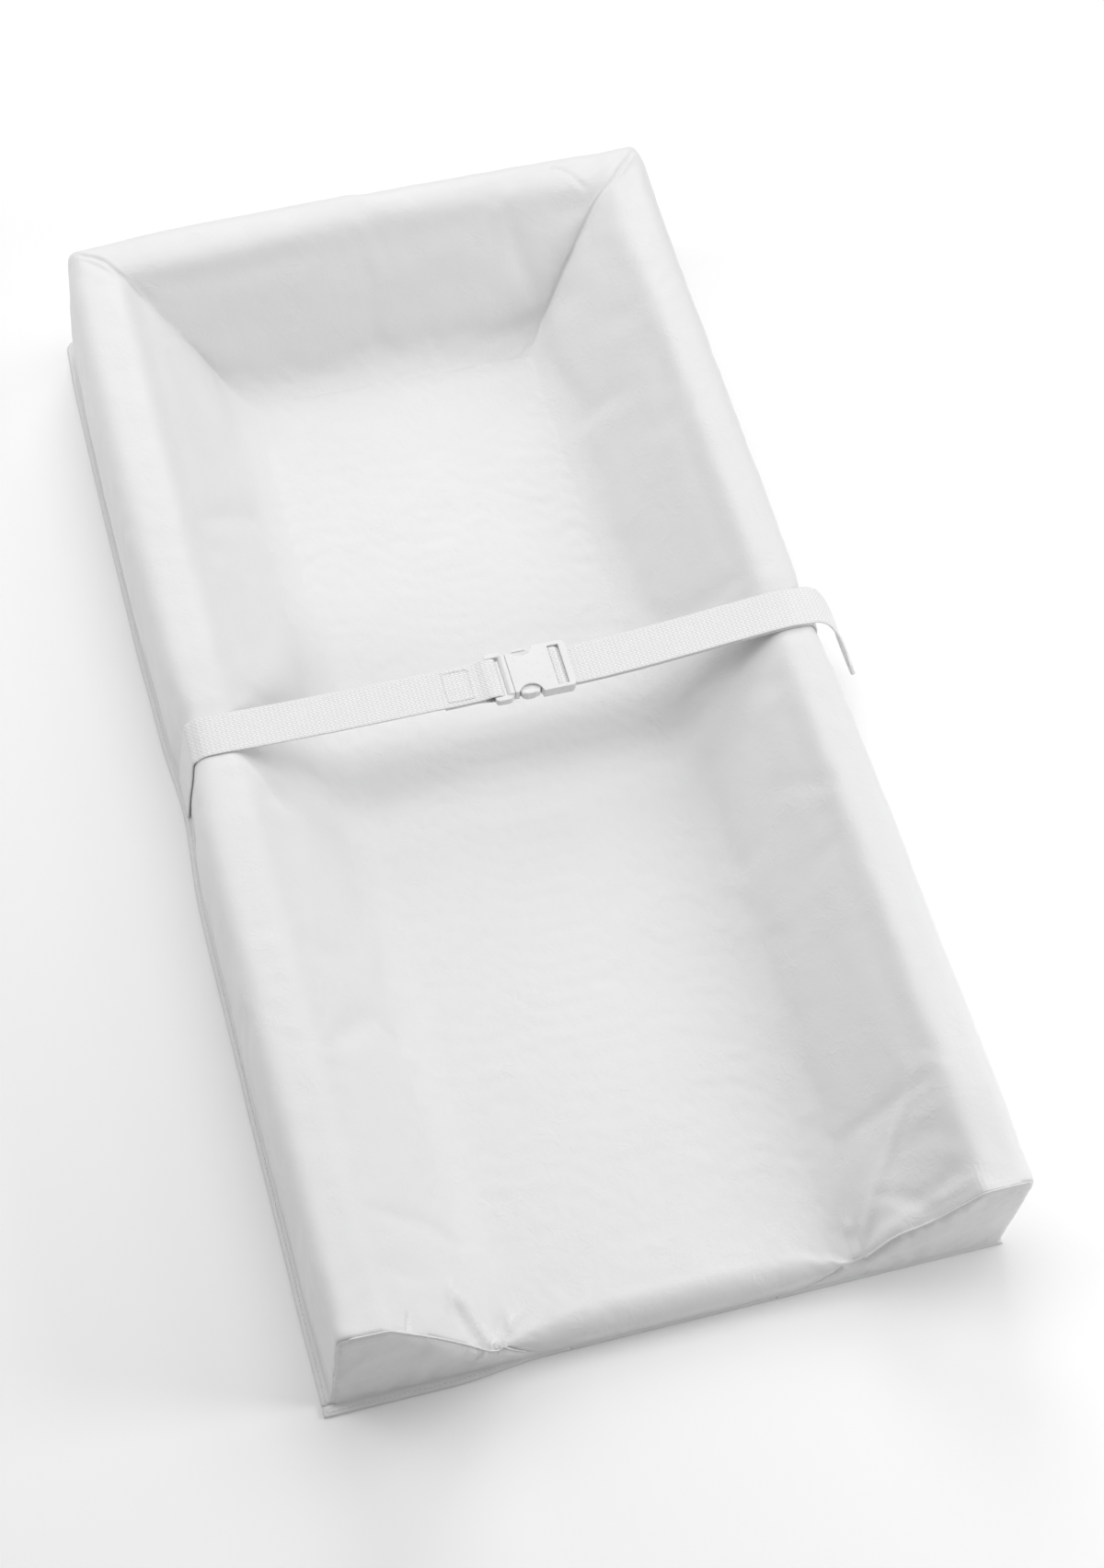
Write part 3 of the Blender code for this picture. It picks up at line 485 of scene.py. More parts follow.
def make_plastic():
    look = Look("buckle_plastic", (0.79, 0.792, 0.795), 0.34, specular=0.42)
    look.shader.inputs["Subsurface Weight"].default_value = 0.12
    look.shader.inputs["Subsurface Radius"].default_value = (0.002, 0.002, 0.002)
    look.colours(look.noise(120.0, 2.0), (0.78, 0.782, 0.785), (0.80, 0.802, 0.805))
    look.rough(look.spread(look.noise(260.0, 3.0), 0.3, 0.7, 0.25, 0.37))
    look.bump((look.noise(1500.0, 2.0), 0.000012), (look.noise(140.0, 1.0), 0.00008))
    return look.material


def make_steel():
    look = Look("press_stud_nickel", (0.78, 0.77, 0.75), 0.24, metallic=1.0)
    look.colours(look.noise(300.0, 2.0), (0.74, 0.73, 0.71), (0.82, 0.81, 0.79))
    look.rough(look.spread(look.noise(900.0, 3.0), 0.3, 0.7, 0.18, 0.34))
    look.bump((look.noise(2500.0, 2.0), 0.00001))
    return look.material


def make_thread():
    look = Look("white_thread", (0.87, 0.87, 0.875), 0.6, specular=0.4)
    look.colours(look.noise(2000.0, 2.0), (0.82, 0.82, 0.83), (0.9, 0.9, 0.905))
    look.bump((look.noise(4000.0, 1.0), 0.00004))
    return look.material


def make_label_satin():
    look = Look("label_satin", (0.86, 0.86, 0.85), 0.42, specular=0.5)
    look.shader.inputs["Sheen Weight"].default_value = 0.3
    place = look.add("ShaderNodeMapping", {"Vector": look.place, "Scale": (300.0, 300.0, 2600.0)})
    ribs = look.noise(1.0, 1.0, 0.0, place.outputs[0])
    look.colours(ribs, (0.80, 0.80, 0.79), (0.90, 0.90, 0.89))
    look.bump((ribs, 0.00004))
    return look.material


# ---------------------------------------------------------------- the cover's base shape
def belt_middle_on_wall(z, side):
    """y of the webbing's middle on a wall: it slants towards the head on its way down."""
    share = 1 - ease(z / RIM_AT_BELT)
    if side < 0:
        return BELT_Y_LEFT + LEFT_ANCHOR_SHIFT * share
    return BELT_Y_RIGHT + RIGHT_ANCHOR_SHIFT * share


def under_belt(x, y, z):
    """1 where the webbing presses on the cover, easing to 0 beside it."""
    middle = np.where(x < 0, belt_middle_on_wall(z, -1), belt_middle_on_wall(z, 1))
    beside = np.abs(y - middle) - WEBBING / 2
    return (1 - ease((beside - 0.001) / 0.012)) * (np.abs(x) > HALF - VALLEY_IN + 0.02)


def profile():
    """Section of a raised side, as (distance in from the wall's foot, height)."""
    path = rounded(
        [
            (0.0, LIP, 0.0),
            (WALL_TOP_IN, HEIGHT, RIM_RADIUS),
            (CREST_IN, HEIGHT, CREST_RADIUS),
            (VALLEY_IN, LYING, VALLEY_RADIUS),
            (VALLEY_IN + VALLEY_RADIUS, LYING, 0.0),
        ],
        16,
    )
    section = evenly([p for p in path if p[0] <= VALLEY_IN + VALLEY_TURN], CELL)
    flange = [(-FLANGE, LIP - FLANGE_FALL), (-FLANGE / 2, LIP - 0.0004)]
    return np.vstack([flange, section])


def plan_loop(d):
    """Points round the left, head and right sides at distance d inside the walls' feet."""
    radius = max(CORNER_RADIUS - d, INNER_RADIUS)
    x = HALF - d
    y = HEAD - d
    leg = np.linspace(FOOT, y - radius, LEG_COLUMNS + 1)
    left = [(-x, v) for v in leg]
    turn = arc((-x + radius, y - radius), radius, 180, 90, CORNER_COLUMNS)[1:]
    head = [(u, y) for u in np.linspace(-x + radius, 0.0, HEAD_COLUMNS // 2 + 1)[1:]]
    half = np.array(left + turn + head)
    return np.vstack([half, half[-2::-1] * (-1, 1)])


def outwards():
    """Unit directions away from the pad, seen from above, for each column."""
    angles = np.radians(np.linspace(180, 90, CORNER_COLUMNS + 1)[1:-1])
    half = [(-1.0, 0.0)] * (LEG_COLUMNS + 1) + [(math.cos(a), math.sin(a)) for a in angles]
    half += [(0.0, 1.0)] * (HEAD_COLUMNS // 2 + 1)
    half = np.array(half)
    return np.vstack([half, half[-2::-1] * (-1, 1)])


def near_foot(y, length):
    """1 at the foot end, easing to 0 over a length."""
    return 1 - ease((y - FOOT) / length)


def slope_height(d):
    """Height of the straight slope, without its rounded ends, at distance d inside the wall's foot."""
    return LYING + np.clip(VALLEY_IN - d, 0, None) * (HEIGHT - LYING) / (VALLEY_IN - CREST_IN)


def valley_rise(d):
    """How far the rounded valley still stands above the lying surface."""
    half_turn = math.atan2(HEIGHT - LYING, VALLEY_IN - CREST_IN) / 2
    reach = VALLEY_IN + VALLEY_RADIUS * math.tan(half_turn)
    return np.clip(reach - d, 0, None) ** 2 / (2 * VALLEY_RADIUS)


def sharp_rim(d, z):
    """The rim's rounded edge squared up."""
    centre = (WALL_TOP_IN + RIM_RADIUS, HEIGHT - RIM_RADIUS)
    out, up = (centre[0] - d) / RIM_RADIUS, (z - centre[1]) / RIM_RADIUS
    if out < 0 or up < 0:
        return d, z
    most = max(out, up)
    return centre[0] - out / most * RIM_RADIUS, centre[1] + up / most * RIM_RADIUS


def side_height(d, z, x, y):
    """Height of a raised side's point: lower at the foot and under the belt."""
    left_drop = 0.0006 + 0.0018 * ease(d / 0.028)
    foot = near_foot(y, FOOT_DROP_LENGTH) * np.where(x < 0, left_drop, 0.0054)
    middle = np.where(x < 0, BELT_Y_LEFT, BELT_Y_RIGHT) + 0.001
    beside = np.abs(y - middle) - WEBBING / 2
    dip = BELT_DIP * (1 - 0.5 * ease((beside - 0.001) / 0.010) - 0.5 * ease((beside - 0.004) / 0.045))
    share = np.clip((z - LYING) / (HEIGHT - LYING), 0, 1)
    bulge = np.where(
        x < 0,
        0.0028 * np.exp(-(((np.abs(x) - 0.142) / 0.022) ** 2)),
        0.0105 * np.exp(-(((np.abs(x) - 0.125) / 0.015) ** 2)),
    )
    bulge = bulge * near_foot(y, 0.075) * (d > CREST_IN * 0.9)
    bulge = bulge - 0.0026 * np.exp(-(((np.abs(x) - 0.1095) / 0.010) ** 2)) * near_foot(y, 0.030)
    fillet = np.where(d > (CREST_IN + VALLEY_IN) / 2, z - slope_height(d), 0.0) * near_foot(y, 0.060)
    inner = (d > CREST_IN - 0.010) & (d <= (CREST_IN + VALLEY_IN) / 2)
    sharper = np.where(inner, np.minimum(HEIGHT, slope_height(d)) - z, 0.0) * near_foot(y, 0.035) * 0.8
    return z - share * (foot + dip) + bulge - fillet + sharper


def head_lean(d, x):
    """How far the head end stands out at full height, at distance d inside the wall's foot."""
    across = ease(d / CREST_IN)
    lean = keyed(x, HEAD_RIM_LEAN) * (1 - across) + keyed(x, HEAD_CREST_LEAN) * across
    return lean * np.clip((VALLEY_IN - d) / (VALLEY_IN - CREST_IN), 0, 1)


def side_rows():
    """The raised sides as rows of points, from the flange's edge over the crest to the valley."""
    away = outwards()
    rows = []
    for d, z in profile():
        plan = plan_loop(d)
        x, y = plan.T
        high = side_height(d, np.full(len(x), z), x, y)
        inside = 1 - ease((d - 0.004) / (CREST_IN - 0.006))
        share = np.clip((z - LIP) / (HEIGHT - LIP), 0, 1)
        swell = np.sin(math.pi * share**0.8 * np.where(x < 0, 0.86, 1.0)) * inside
        pinch = 1 - under_belt(x, y, np.full(len(x), z)) * (z > LIP)
        shift = np.where(x < 0, keyed(y, LEFT_SHIFT), keyed(y, RIGHT_SHIFT) * share)
        side = shift * inside + keyed(y, SIDE_PUFF) * swell
        side = np.where(side > 0, side * pinch, side)
        side = side + 0.0020 * near_foot(y, 0.060) * ease((d - CREST_IN) / (VALLEY_IN - CREST_IN))
        sharp_d, sharp_z = sharp_rim(d, z)
        from_corner = np.hypot(HALF - d - x, HEAD - d - y)
        at_corner = 0.75 * (1 - ease(from_corner / 0.030))
        sharp = np.maximum(near_foot(y, 0.030) * 0.8, at_corner)
        side = side + (d - sharp_d) * sharp
        high = high + (sharp_z - z) * sharp
        head = keyed(x, HEAD_SHIFT) * inside + keyed(x, HEAD_PUFF) * swell + head_lean(d, x) * share
        head = head + (d - sharp_d) * at_corner
        crown = HEAD_CROWN * share * np.exp(-(((d - 0.016) / 0.014) ** 2)) * (1 - (x / HALF) ** 2)
        high = high + crown * np.clip(away[:, 1], 0, 1)
        on_slope = ease((d - CREST_IN + 0.006) / 0.016) * (1 - ease((d - 0.080) / 0.025))
        pull = on_slope * (1 - ease(from_corner / 0.11))
        flange_pinch = -0.0016 * np.exp(-(((y - 0.012) / 0.035) ** 2)) * (d < 0)
        flange_pinch = flange_pinch + 0.8 * min(d, 0.0) * near_foot(y, 0.060) * (x > 0)
        x = x + away[:, 0] * (side + flange_pinch) + TOP_LEAN * share - MITRE_PULL * pull
        y = y + away[:, 1] * head - 0.0025 * share * near_foot(y, 0.050) * (x > 0)
        rows.append(np.stack([x, y, high], axis=1))
    return rows


def foot_rows(inner_x):
    """Rows across the lying surface's foot edge: round the roll, down the apron, out to the flange."""
    shares = np.linspace(-1, 1, HEAD_COLUMNS + CORNER_COLUMNS + 1)
    roll = 0.0013 + FOOT_ROLL * (1 - shares**4)
    rows = []
    drops = [(math.radians(a), None) for a in (0, 20, 40, 60, 78, 90)]
    drops += [(math.pi / 2, share) for share in (0.72, 0.44, 0.2, 0.0)]
    for turn, down in drops:
        y = FOOT + roll * (1 - math.sin(turn))
        z = LYING - roll * (1 - math.cos(turn))
        if down is not None:
            z = LIP + (LYING - roll - LIP) * down
        fall = ((z - LIP) / (LYING - LIP)).clip(0, 1) ** SEAM_CURVE
        x = shares * (SEAM_TIP_X + (inner_x - SEAM_TIP_X) * fall)
        bulge = 0.0016 * np.sin(math.pi * (z - LIP) / (LYING - LIP)) * (1 - shares**6)
        rows.append(np.stack([x, y - bulge, z], axis=1))
    for out in (FLANGE / 2, FLANGE):
        edge = rows[9].copy()
        edge[:, 1] = FOOT - out * keyed(edge[:, 0], FOOT_FLANGE)
        edge[:, 2] = LIP - FLANGE_FALL * out / FLANGE
        rows.append(edge)
    return rows


class Skin:
    """The cover as one mesh whose seams are edges, with a tag on each face: 0 top, 1 and 2 gussets."""

    def __init__(self):
        self.points = []
        self.faces = []
        self.tags = []
        self.seams = []
        self.flanges = []
        self.build()

    def add(self, points):
        first = len(self.points)
        self.points += [tuple(p) for p in points]
        return list(range(first, first + len(points)))

    def grid(self, rows, tag):
        for above, below in zip(rows, rows[1:]):
            for a, b, c, d in zip(above, above[1:], below[1:], below):
                self.faces.append([a, b, c, d])
                self.tags.append(tag)

    def build(self):
        sides = [self.add(row) for row in side_rows()]
        self.sides = sides
        self.grid(sides, 0)
        inner = sides[-1]
        mid_left = LEG_COLUMNS + CORNER_COLUMNS // 2
        mid_right = len(inner) - 1 - mid_left
        left = inner[: mid_left + 1]
        right = inner[::-1][: mid_left + 1]
        top = inner[mid_left : mid_right + 1]
        foot = foot_rows(self.points[right[0]][0])
        bottom_points = foot[0]
        bottom = [left[0], *self.add(bottom_points[1:-1]), right[0]]
        self.points[left[0]] = tuple(bottom_points[0])
        self.points[right[0]] = tuple(bottom_points[-1])
        place = np.array(self.points)
        rows = [bottom]
        for v in range(1, mid_left):
            t = (place[left[v]][1] - place[left[0]][1]) / (place[left[-1]][1] - place[left[0]][1])
            s = np.linspace(0, 1, len(bottom))[:, None]
            across = (1 - t) * place[bottom] + t * place[top]
            along = (1 - s) * place[left[v]] + s * place[right[v]]
            ends = (1 - t) * ((1 - s) * place[bottom[0]] + s * place[bottom[-1]])
            ends = ends + t * ((1 - s) * place[top[0]] + s * place[top[-1]])
            mixed = across + along - ends
            beside = np.minimum(HALF - np.abs(mixed[:, 0]), HEAD - mixed[:, 1])
            mixed[:, 2] = LYING + valley_rise(beside) * (1 - near_foot(mixed[:, 1], 0.060))
            rows.append([left[v], *self.add(mixed[1:-1]), right[v]])
        rows.append(top)
        self.grid(rows, 0)
        apron = [bottom]
        for row in foot[1:]:
            apron.append(self.add(row))
        self.apron = apron
        self.grid(apron, 0)
        for side, tag in ((-1, 1), (1, 2)):
            self.gusset(side, tag)

    def gusset(self, side, tag):
        """Fills the end of a raised side, below its top seam, and adds its share of the flange."""
        column = 0 if side < 0 else -1
        edge = [row[column] for row in self.sides[2:]]
        seam = [row[column] for row in self.apron[1:10]]
        self.seams.append(edge[self.rim_row() :] + seam)
        place = np.array(self.points)
        tip = place[seam[-1]]
        foot_x = place[edge[0]][0]
        count = int(abs(foot_x - tip[0]) / CELL)
        xs = np.linspace(tip[0], foot_x, count + 1)
        base = self.add([(x, FOOT, LIP) for x in xs[1:-1]])
        loop = edge + seam + base
        outline = [Vector((place[i][0], place[i][2])) for i in edge + seam]
        outline += [Vector((x, LIP)) for x in xs[1:-1]]
        inside = self.filling(outline, side)
        joins = [(i, (i + 1) % len(loop)) for i in range(len(loop))]
        made = geometry.delaunay_2d_cdt(outline + inside, joins, [], 1, 1e-6)
        points2, _, faces2, origin, _, _ = made
        extra = {}
        for k, sources in enumerate(origin):
            if not sources or min(sources) >= len(loop):
                p = points2[k]
                lean = 0.0025 * np.clip((p.y - LIP) / (HEIGHT - LIP), 0, 1) * (side > 0)
                extra[k] = self.add([(p.x, FOOT - lean - self.pillow(p, foot_x, tip), p.y)])[0]
            else:
                extra[k] = loop[min(sources)]
        for f in faces2:
            self.faces.append([extra[k] for k in f])
            self.tags.append(tag)
        corner = [self.sides[1][column], self.sides[0][column]]
        flange = [[seam[-1], *base, edge[0], *corner]]
        flange += [[row[column]] for row in self.apron[10:]]
        for run in ([*xs[1:-1], foot_x], [place[i][0] for i in corner]):
            for step in (1, 2):
                out, high = FLANGE * step / 2, LIP - FLANGE_FALL * step / 2
                flange[step] += self.add([(x, FOOT - out * keyed(x, FOOT_FLANGE), high) for x in run])
        self.grid(flange, tag)
        self.flanges.append(flange)

    def mitre(self):
        """Points down the sewn corner between the right slope and the head's."""
        column = len(self.sides[0]) - 1 - LEG_COLUMNS - CORNER_COLUMNS // 2
        return [row[column] for row in self.sides[self.rim_row() + 1 :]]

    def outline(self):
        """The flange's outer edge as one closed loop."""
        left, right = (flange[2] for flange in self.flanges)
        loop = list(self.sides[0])
        loop += right[::-1]
        loop += self.apron[11][1:-1][::-1]
        loop += left
        return loop

    def rim_row(self):
        """Row, counted from the wall's foot, where the wall ends and the rim starts to turn."""
        rows = profile()[2:]
        return int(np.argmax(rows[:, 1] > HEIGHT - RIM_RADIUS * 0.4))

    def filling(self, outline, side):
        """Points of an even triangular grid inside the outline, clear of its edge."""
        edge = np.array([tuple(p) for p in outline])
        inside = []
        for j in range(1, int(HEIGHT / CELL) + 2):
            for i in range(int(HALF / CELL) + 1):
                x = side * (i + 0.5 * (j % 2)) * CELL
                z = LIP + j * CELL * 0.87
                if np.linalg.norm(edge - (x, z), axis=1).min() < CELL * 0.55:
                    continue
                if within(edge, x, z):
                    inside.append(Vector((x, z)))
        return inside

    def pillow(self, point, foot_x, tip):
        """How far the gusset swells out at a point."""
        across = np.clip((abs(point.x) - abs(tip[0])) / (abs(foot_x) - abs(tip[0])), 0, 1)
        top = 0.03 + 0.07 * ease(across * 1.6)
        share = np.clip((point.y - LIP) / top, 0, 1)
        return 0.0026 * math.sin(math.pi * share) * math.sin(math.pi * across)


def within(polygon, x, y):
    """Whether a point is inside a polygon."""
    ahead = np.roll(polygon, -1, axis=0)
    crosses = (polygon[:, 1] > y) != (ahead[:, 1] > y)
    span = ahead[:, 1] - polygon[:, 1]
    at = polygon[:, 0] + (ahead[:, 0] - polygon[:, 0]) * (y - polygon[:, 1]) / np.where(span == 0, 1, span)
    return bool((crosses & (x < at)).sum() % 2)


# ---------------------------------------------------------------- camera, light and floor
def make_camera():
    camera = bpy.data.cameras.new("camera")
    camera.lens = 65.68
    camera.sensor_width = 36.0
    obj = placed("camera", camera)
    right = Vector((0.96395, -0.26276, 0.04194))
    up = Vector((0.20290, 0.82783, 0.52300))
    back = Vector((-0.17214, -0.49564, 0.85130))
    turn = Matrix((right, up, back)).transposed().to_4x4()
    obj.matrix_world = Matrix.Translation((-0.29301, -0.95264, 1.59020)) @ turn
    bpy.context.scene.camera = obj


def area_light(name, place, target, size, power):
    light = bpy.data.lights.new(name, "AREA")
    light.shape = "DISK"
    light.size = size
    light.energy = power
    obj = placed(name, light)
    obj.location = place
    way = Vector(target) - Vector(place)
    obj.rotation_euler = way.to_track_quat("-Z", "Y").to_euler()


def make_studio():
    scene = bpy.context.scene
    scene.view_settings.view_transform = "Standard"
    world = bpy.data.worlds.new("studio")
    world.use_nodes = True
    sky = world.node_tree.nodes["Background"]
    sky.inputs["Color"].default_value = (1.0, 1.0, 1.0, 1.0)
    sky.inputs["Strength"].default_value = 0.19
    scene.world = world
    area_light("key", (1.7, 0.5, 1.7), (0, 0, 0.05), 1.6, 8.4)
    area_light("head", (0.3, 2.2, 1.6), (0, 0.2, 0.05), 1.6, 23.0)
    area_light("top", (0.0, 0.4, 2.6), (0, 0, 0.05), 2.4, 25.0)
    area_light("foot_right", (1.1, -0.7, 0.7), (0.15, -0.4, 0.05), 0.5, 6.7)
    area_light("left", (-1.6, 0.5, 0.9), (-0.2, 0.1, 0.05), 1.2, 5.4)
    area_light("left_top", (-1.3, 0.6, 1.9), (0, 0.1, 0.05), 1.4, 7.3)
    floor = new_object("floor", [(-6, -6, 0), (6, -6, 0), (6, 6, 0), (-6, 6, 0)], [(0, 1, 2, 3)], False)
    floor.location.z = -0.0002
    look = Look("floor_paper", (0.94, 0.94, 0.94), 0.9, specular=0.1)
    look.colours(look.noise(3.0, 2.0), (0.935, 0.935, 0.935), (0.945, 0.945, 0.945))
    floor.data.materials.append(look.material)


# ---------------------------------------------------------------- the cover
def hold_weights(skin, points):
    """How firmly each point of the cover keeps its place while the cloth swells: 1 is sewn or pressed."""
    x, y, z = points.T
    on_slope = ease((z - LYING - 0.004) / 0.010)
    hold = 0.34 - 0.26 * on_slope
    crest = ease((z - HEIGHT + 0.018) / 0.010)
    hold = hold + 0.25 * crest
    outside = np.abs(x) > HALF - 0.008
    hold = np.where(outside | (y > HEAD - 0.008), np.maximum(hold, 0.18), hold)
    valley = np.exp(-(((z - LYING - 0.002) / 0.004) ** 2)) * (np.abs(x) > HALF - VALLEY_IN - 0.03)
    hold = np.maximum(hold, 0.4 * valley)
    hold = np.maximum(hold, under_belt(x, y, z))
    sewn = [i for row in skin.sides[:3] for i in row]
    sewn += [i for row in skin.apron[9:] for i in row]
    sewn += [i for seam in [*skin.seams, skin.mitre()] for i in seam]
    sewn += [i for flange in skin.flanges for row in flange for i in row]
    hold[sewn] = 1.0
    return np.clip(hold, 0.0, 1.0)


def swell(obj, hold):
    """Cloth simulation of the sewn cover, a little too big for its foam, with air under it."""
    rest = points_of(obj.data)
    out = normals_of(obj.data)
    group = obj.vertex_groups.new(name="hold")
    for i, weight in enumerate(hold):
        group.add([i], float(weight), "REPLACE")
    cloth = obj.modifiers.new("Cloth", "CLOTH")
    settings = cloth.settings
    settings.quality = 5
    settings.mass = 0.25
    settings.tension_stiffness = 25.0
    settings.compression_stiffness = 25.0
    settings.shear_stiffness = 12.0
    settings.bending_stiffness = 0.6
    settings.vertex_group_mass = "hold"
    settings.effector_weights.gravity = 0.0
    settings.use_pressure = True
    settings.uniform_pressure_force = PRESSURE
    settings.shrink_min = -SLACK
    cloth.point_cache.frame_start = 1
    cloth.point_cache.frame_end = CLOTH_FRAMES
    scene = bpy.context.scene
    for step in range(1, CLOTH_FRAMES + 1):
        scene.frame_set(step)
    apply_modifiers(obj)
    scene.frame_set(1)
    moved = points_of(obj.data) - rest
    lift = (moved * out).sum(axis=1)
    aside = moved - out * lift[:, None]
    length = np.linalg.norm(aside, axis=1) + 1e-9
    aside *= (np.minimum(length, 0.0025) / length)[:, None]
    lift = np.where(lift > 0, MOST_SWELL * np.tanh(lift / MOST_SWELL), -0.0005 * np.tanh(-lift / 0.0005))
    set_points(obj.data, rest + aside + out * lift[:, None])
    print("cloth: lift from", round(lift.min() * 1000, 2), "to", round(lift.max() * 1000, 2), "mm")


def crease_lines(obj, mitre):
    """The folds and the sewn corner as dense curves on the cover, in metres, with their shape."""
    surface = BVHTree.FromObject(obj, bpy.context.evaluated_depsgraph_get())
    lines = []
    for height, width, left, right, points in [*CREASES, (*MITRE_SEAM, mitre * 1000)]:
        path = evenly(smooth_path(np.array(points) / 1000), 0.002)
        path = np.array([tuple(surface.find_nearest(Vector(p))[0]) for p in path])
        lines.append((height, width, left, right, path))
    return lines


def refine(obj, lines):
    """Smaller faces where folds lie, so that a narrow fold has a real shape."""

    def split(made, reach):
        made.faces.ensure_lookup_table()
        centres = np.array([f.calc_center_median() for f in made.faces])
        near = np.zeros(len(centres), bool)
        for p in np.vstack([line[-1] for line in lines]):
            near |= ((centres - p) ** 2).sum(axis=1) < reach**2
        edges = {e for i in np.flatnonzero(near) for e in made.faces[i].edges}
        bmesh.ops.subdivide_edges(made, edges=list(edges), cuts=1, use_grid_fill=True)

    for reach in (0.016, 0.008):
        edit(obj.data, lambda made: split(made, reach))


def seam_distance(points, seams):
    """Distance of each point to the gusset seams."""
    found = np.full(len(points), 1.0)
    for path in seams:
        for p in path:
            found = np.minimum(found, np.linalg.norm(points - p, axis=1))
    return found


def fold(obj, lines, seams):
    """Raises the ridges and sinks the notches of each fold, and adds the vinyl's small wrinkles."""
    points = points_of(obj.data)
    out = normals_of(obj.data)
    lift = np.zeros(len(points))
    for height, width, left, right, path in lines:
        low = path.min(axis=0) - 4 * width
        high = path.max(axis=0) + 4 * width
        near = np.flatnonzero(((points > low) & (points < high)).all(axis=1))
        if not len(near):
            continue
        gaps = points[near][:, None, :] - path[None, :, :]
        reach = np.linalg.norm(gaps, axis=2)
        nearest = reach.argmin(axis=1)
        ahead = path[np.minimum(nearest + 1, len(path) - 1)] - path[np.maximum(nearest - 1, 0)]
        gap = gaps[np.arange(len(near)), nearest]
        side = np.sign(ahead[:, 0] * gap[:, 1] - ahead[:, 1] * gap[:, 0])
        across = reach[np.arange(len(near)), nearest] * side / width
        share = nearest / (len(path) - 1)
        taper = ease(share / 0.10) * ease((1 - share) / 0.35)
        shape = np.exp(-(across**2))
        shape -= left * np.exp(-((across - 1.4) ** 2)) + right * np.exp(-((across + 1.4) ** 2))
        lift[near] += height * taper * shape
    x, y, z = points.T
    raised = ease((z - LYING - 0.002) / 0.02)
    free = (1 - under_belt(x, y, z)) * ease((z - LIP) / 0.01)
    lift += free * (0.25 + 0.75 * raised) * 0.0005 * fractal(points * (1, 0.45, 1), 0.045, 3)
    lift += free * 0.00016 * fractal(points, 0.014, 9)
    beside = seam_distance(points, seams)
    groove = np.where(x < 0, z > 0.012, z > 0.031)
    lift -= 0.0007 * np.exp(-((beside / 0.0022) ** 2)) * groove
    set_points(obj.data, points + out * lift[:, None])


def sheet_part(obj, tag, name):
    """The faces with one tag as a piece of its own."""
    made = bmesh.new()
    made.from_mesh(obj.data)
    bmesh.ops.delete(made, geom=[f for f in made.faces if f.material_index != tag], context="FACES")
    mesh = bpy.data.meshes.new(name)
    made.to_mesh(mesh)
    made.free()
    mesh.polygons.foreach_set("material_index", np.zeros(len(mesh.polygons), np.int32))
    mesh.shade_smooth()
    return placed(name, mesh)


def thicken(obj, thickness):
    """Thickness laid on the inner side."""
    return modify(obj, "SOLIDIFY", thickness=thickness, offset=-1.0, use_quality_normals=True)


def crease_edges(obj, edges, amount):
    """Edges that subdivision keeps crisp."""

    def sharpen(made):
        made.verts.ensure_lookup_table()
        layer = made.edges.layers.float.get("crease_edge") or made.edges.layers.float.new("crease_edge")
        for a, b in edges:
            edge = made.edges.get((made.verts[a], made.verts[b]))
            if edge:
                edge[layer] = amount

    edit(obj.data, sharpen)


def build_cover(looks):
    skin = Skin()
    obj = new_object("skin", skin.points, skin.faces)
    for _ in range(3):
        obj.data.materials.append(looks["vinyl"])
    obj.data.polygons.foreach_set("material_index", np.array(skin.tags, np.int32))
    face_up(obj)
    rest = np.array(skin.points)
    seams = [evenly(rest[seam], 0.002) for seam in skin.seams]
    bottom_loop = rest[skin.outline()]
    swell(obj, hold_weights(skin, rest))
    crisp = [pair for seam in skin.seams for pair in zip(seam, seam[1:])]
    crisp = [pair for pair in crisp if rest[pair[1]][2] > (0.012 if rest[pair[1]][0] < 0 else 0.027)]
    crease_edges(obj, crisp, 0.75)
    modify(obj, "SUBSURF", levels=1, render_levels=1, boundary_smooth="PRESERVE_CORNERS")
    lines = crease_lines(obj, rest[skin.mitre()])
    refine(obj, lines)
    fold(obj, lines, seams)
    obj.data.shade_smooth()
    parts = {}
    names = {"cover_top": 0, "cover_gusset_left": 1, "cover_gusset_right": 2}
    for name, tag in names.items():
        parts[name] = sheet_part(obj, tag, name)
    surface = BVHTree.FromObject(obj, bpy.context.evaluated_depsgraph_get())
    bpy.data.objects.remove(obj, do_unlink=True)
    for part in parts.values():
        thicken(part, SHEET)
    top = dress(parts["cover_top"], "pad", looks["vinyl"], "cover_vinyl", "cover_top_panel")
    for side, foam in (("left", "foam_left"), ("right", "foam_right")):
        gusset = parts["cover_gusset_" + side]
        dress(gusset, "pad", looks["vinyl"], "cover_vinyl", "cover_foot_gusset_" + side)
    return surface, seams, bottom_loop


def tube(name, path, radius, sides=8):
    """A round cord along a path, closed at both ends."""
    path = np.array(path)
    ahead = np.gradient(path, axis=0)
    ahead /= np.linalg.norm(ahead, axis=1)[:, None] + 1e-12
    across = np.cross(ahead, (0.0, 1.0, 0.0))
    weak = np.linalg.norm(across, axis=1) < 0.2
    across[weak] = np.cross(ahead[weak], (0.0, 0.0, 1.0))
    across /= np.linalg.norm(across, axis=1)[:, None]
    other = np.cross(ahead, across)
    turn = np.linspace(0, 2 * math.pi, sides, endpoint=False)
    ends = np.minimum(np.arange(len(path)), np.arange(len(path))[::-1])
    thin = np.sqrt(np.clip(ends / 1.5, 0.05, 1))
    rings = []
    for k, p in enumerate(path):
        ring = np.outer(np.cos(turn), across[k]) + np.outer(np.sin(turn), other[k])
        rings.append(p + ring * radius * thin[k])
    return face_out(new_object(name, np.vstack(rings), tube_faces(sides, len(path))))


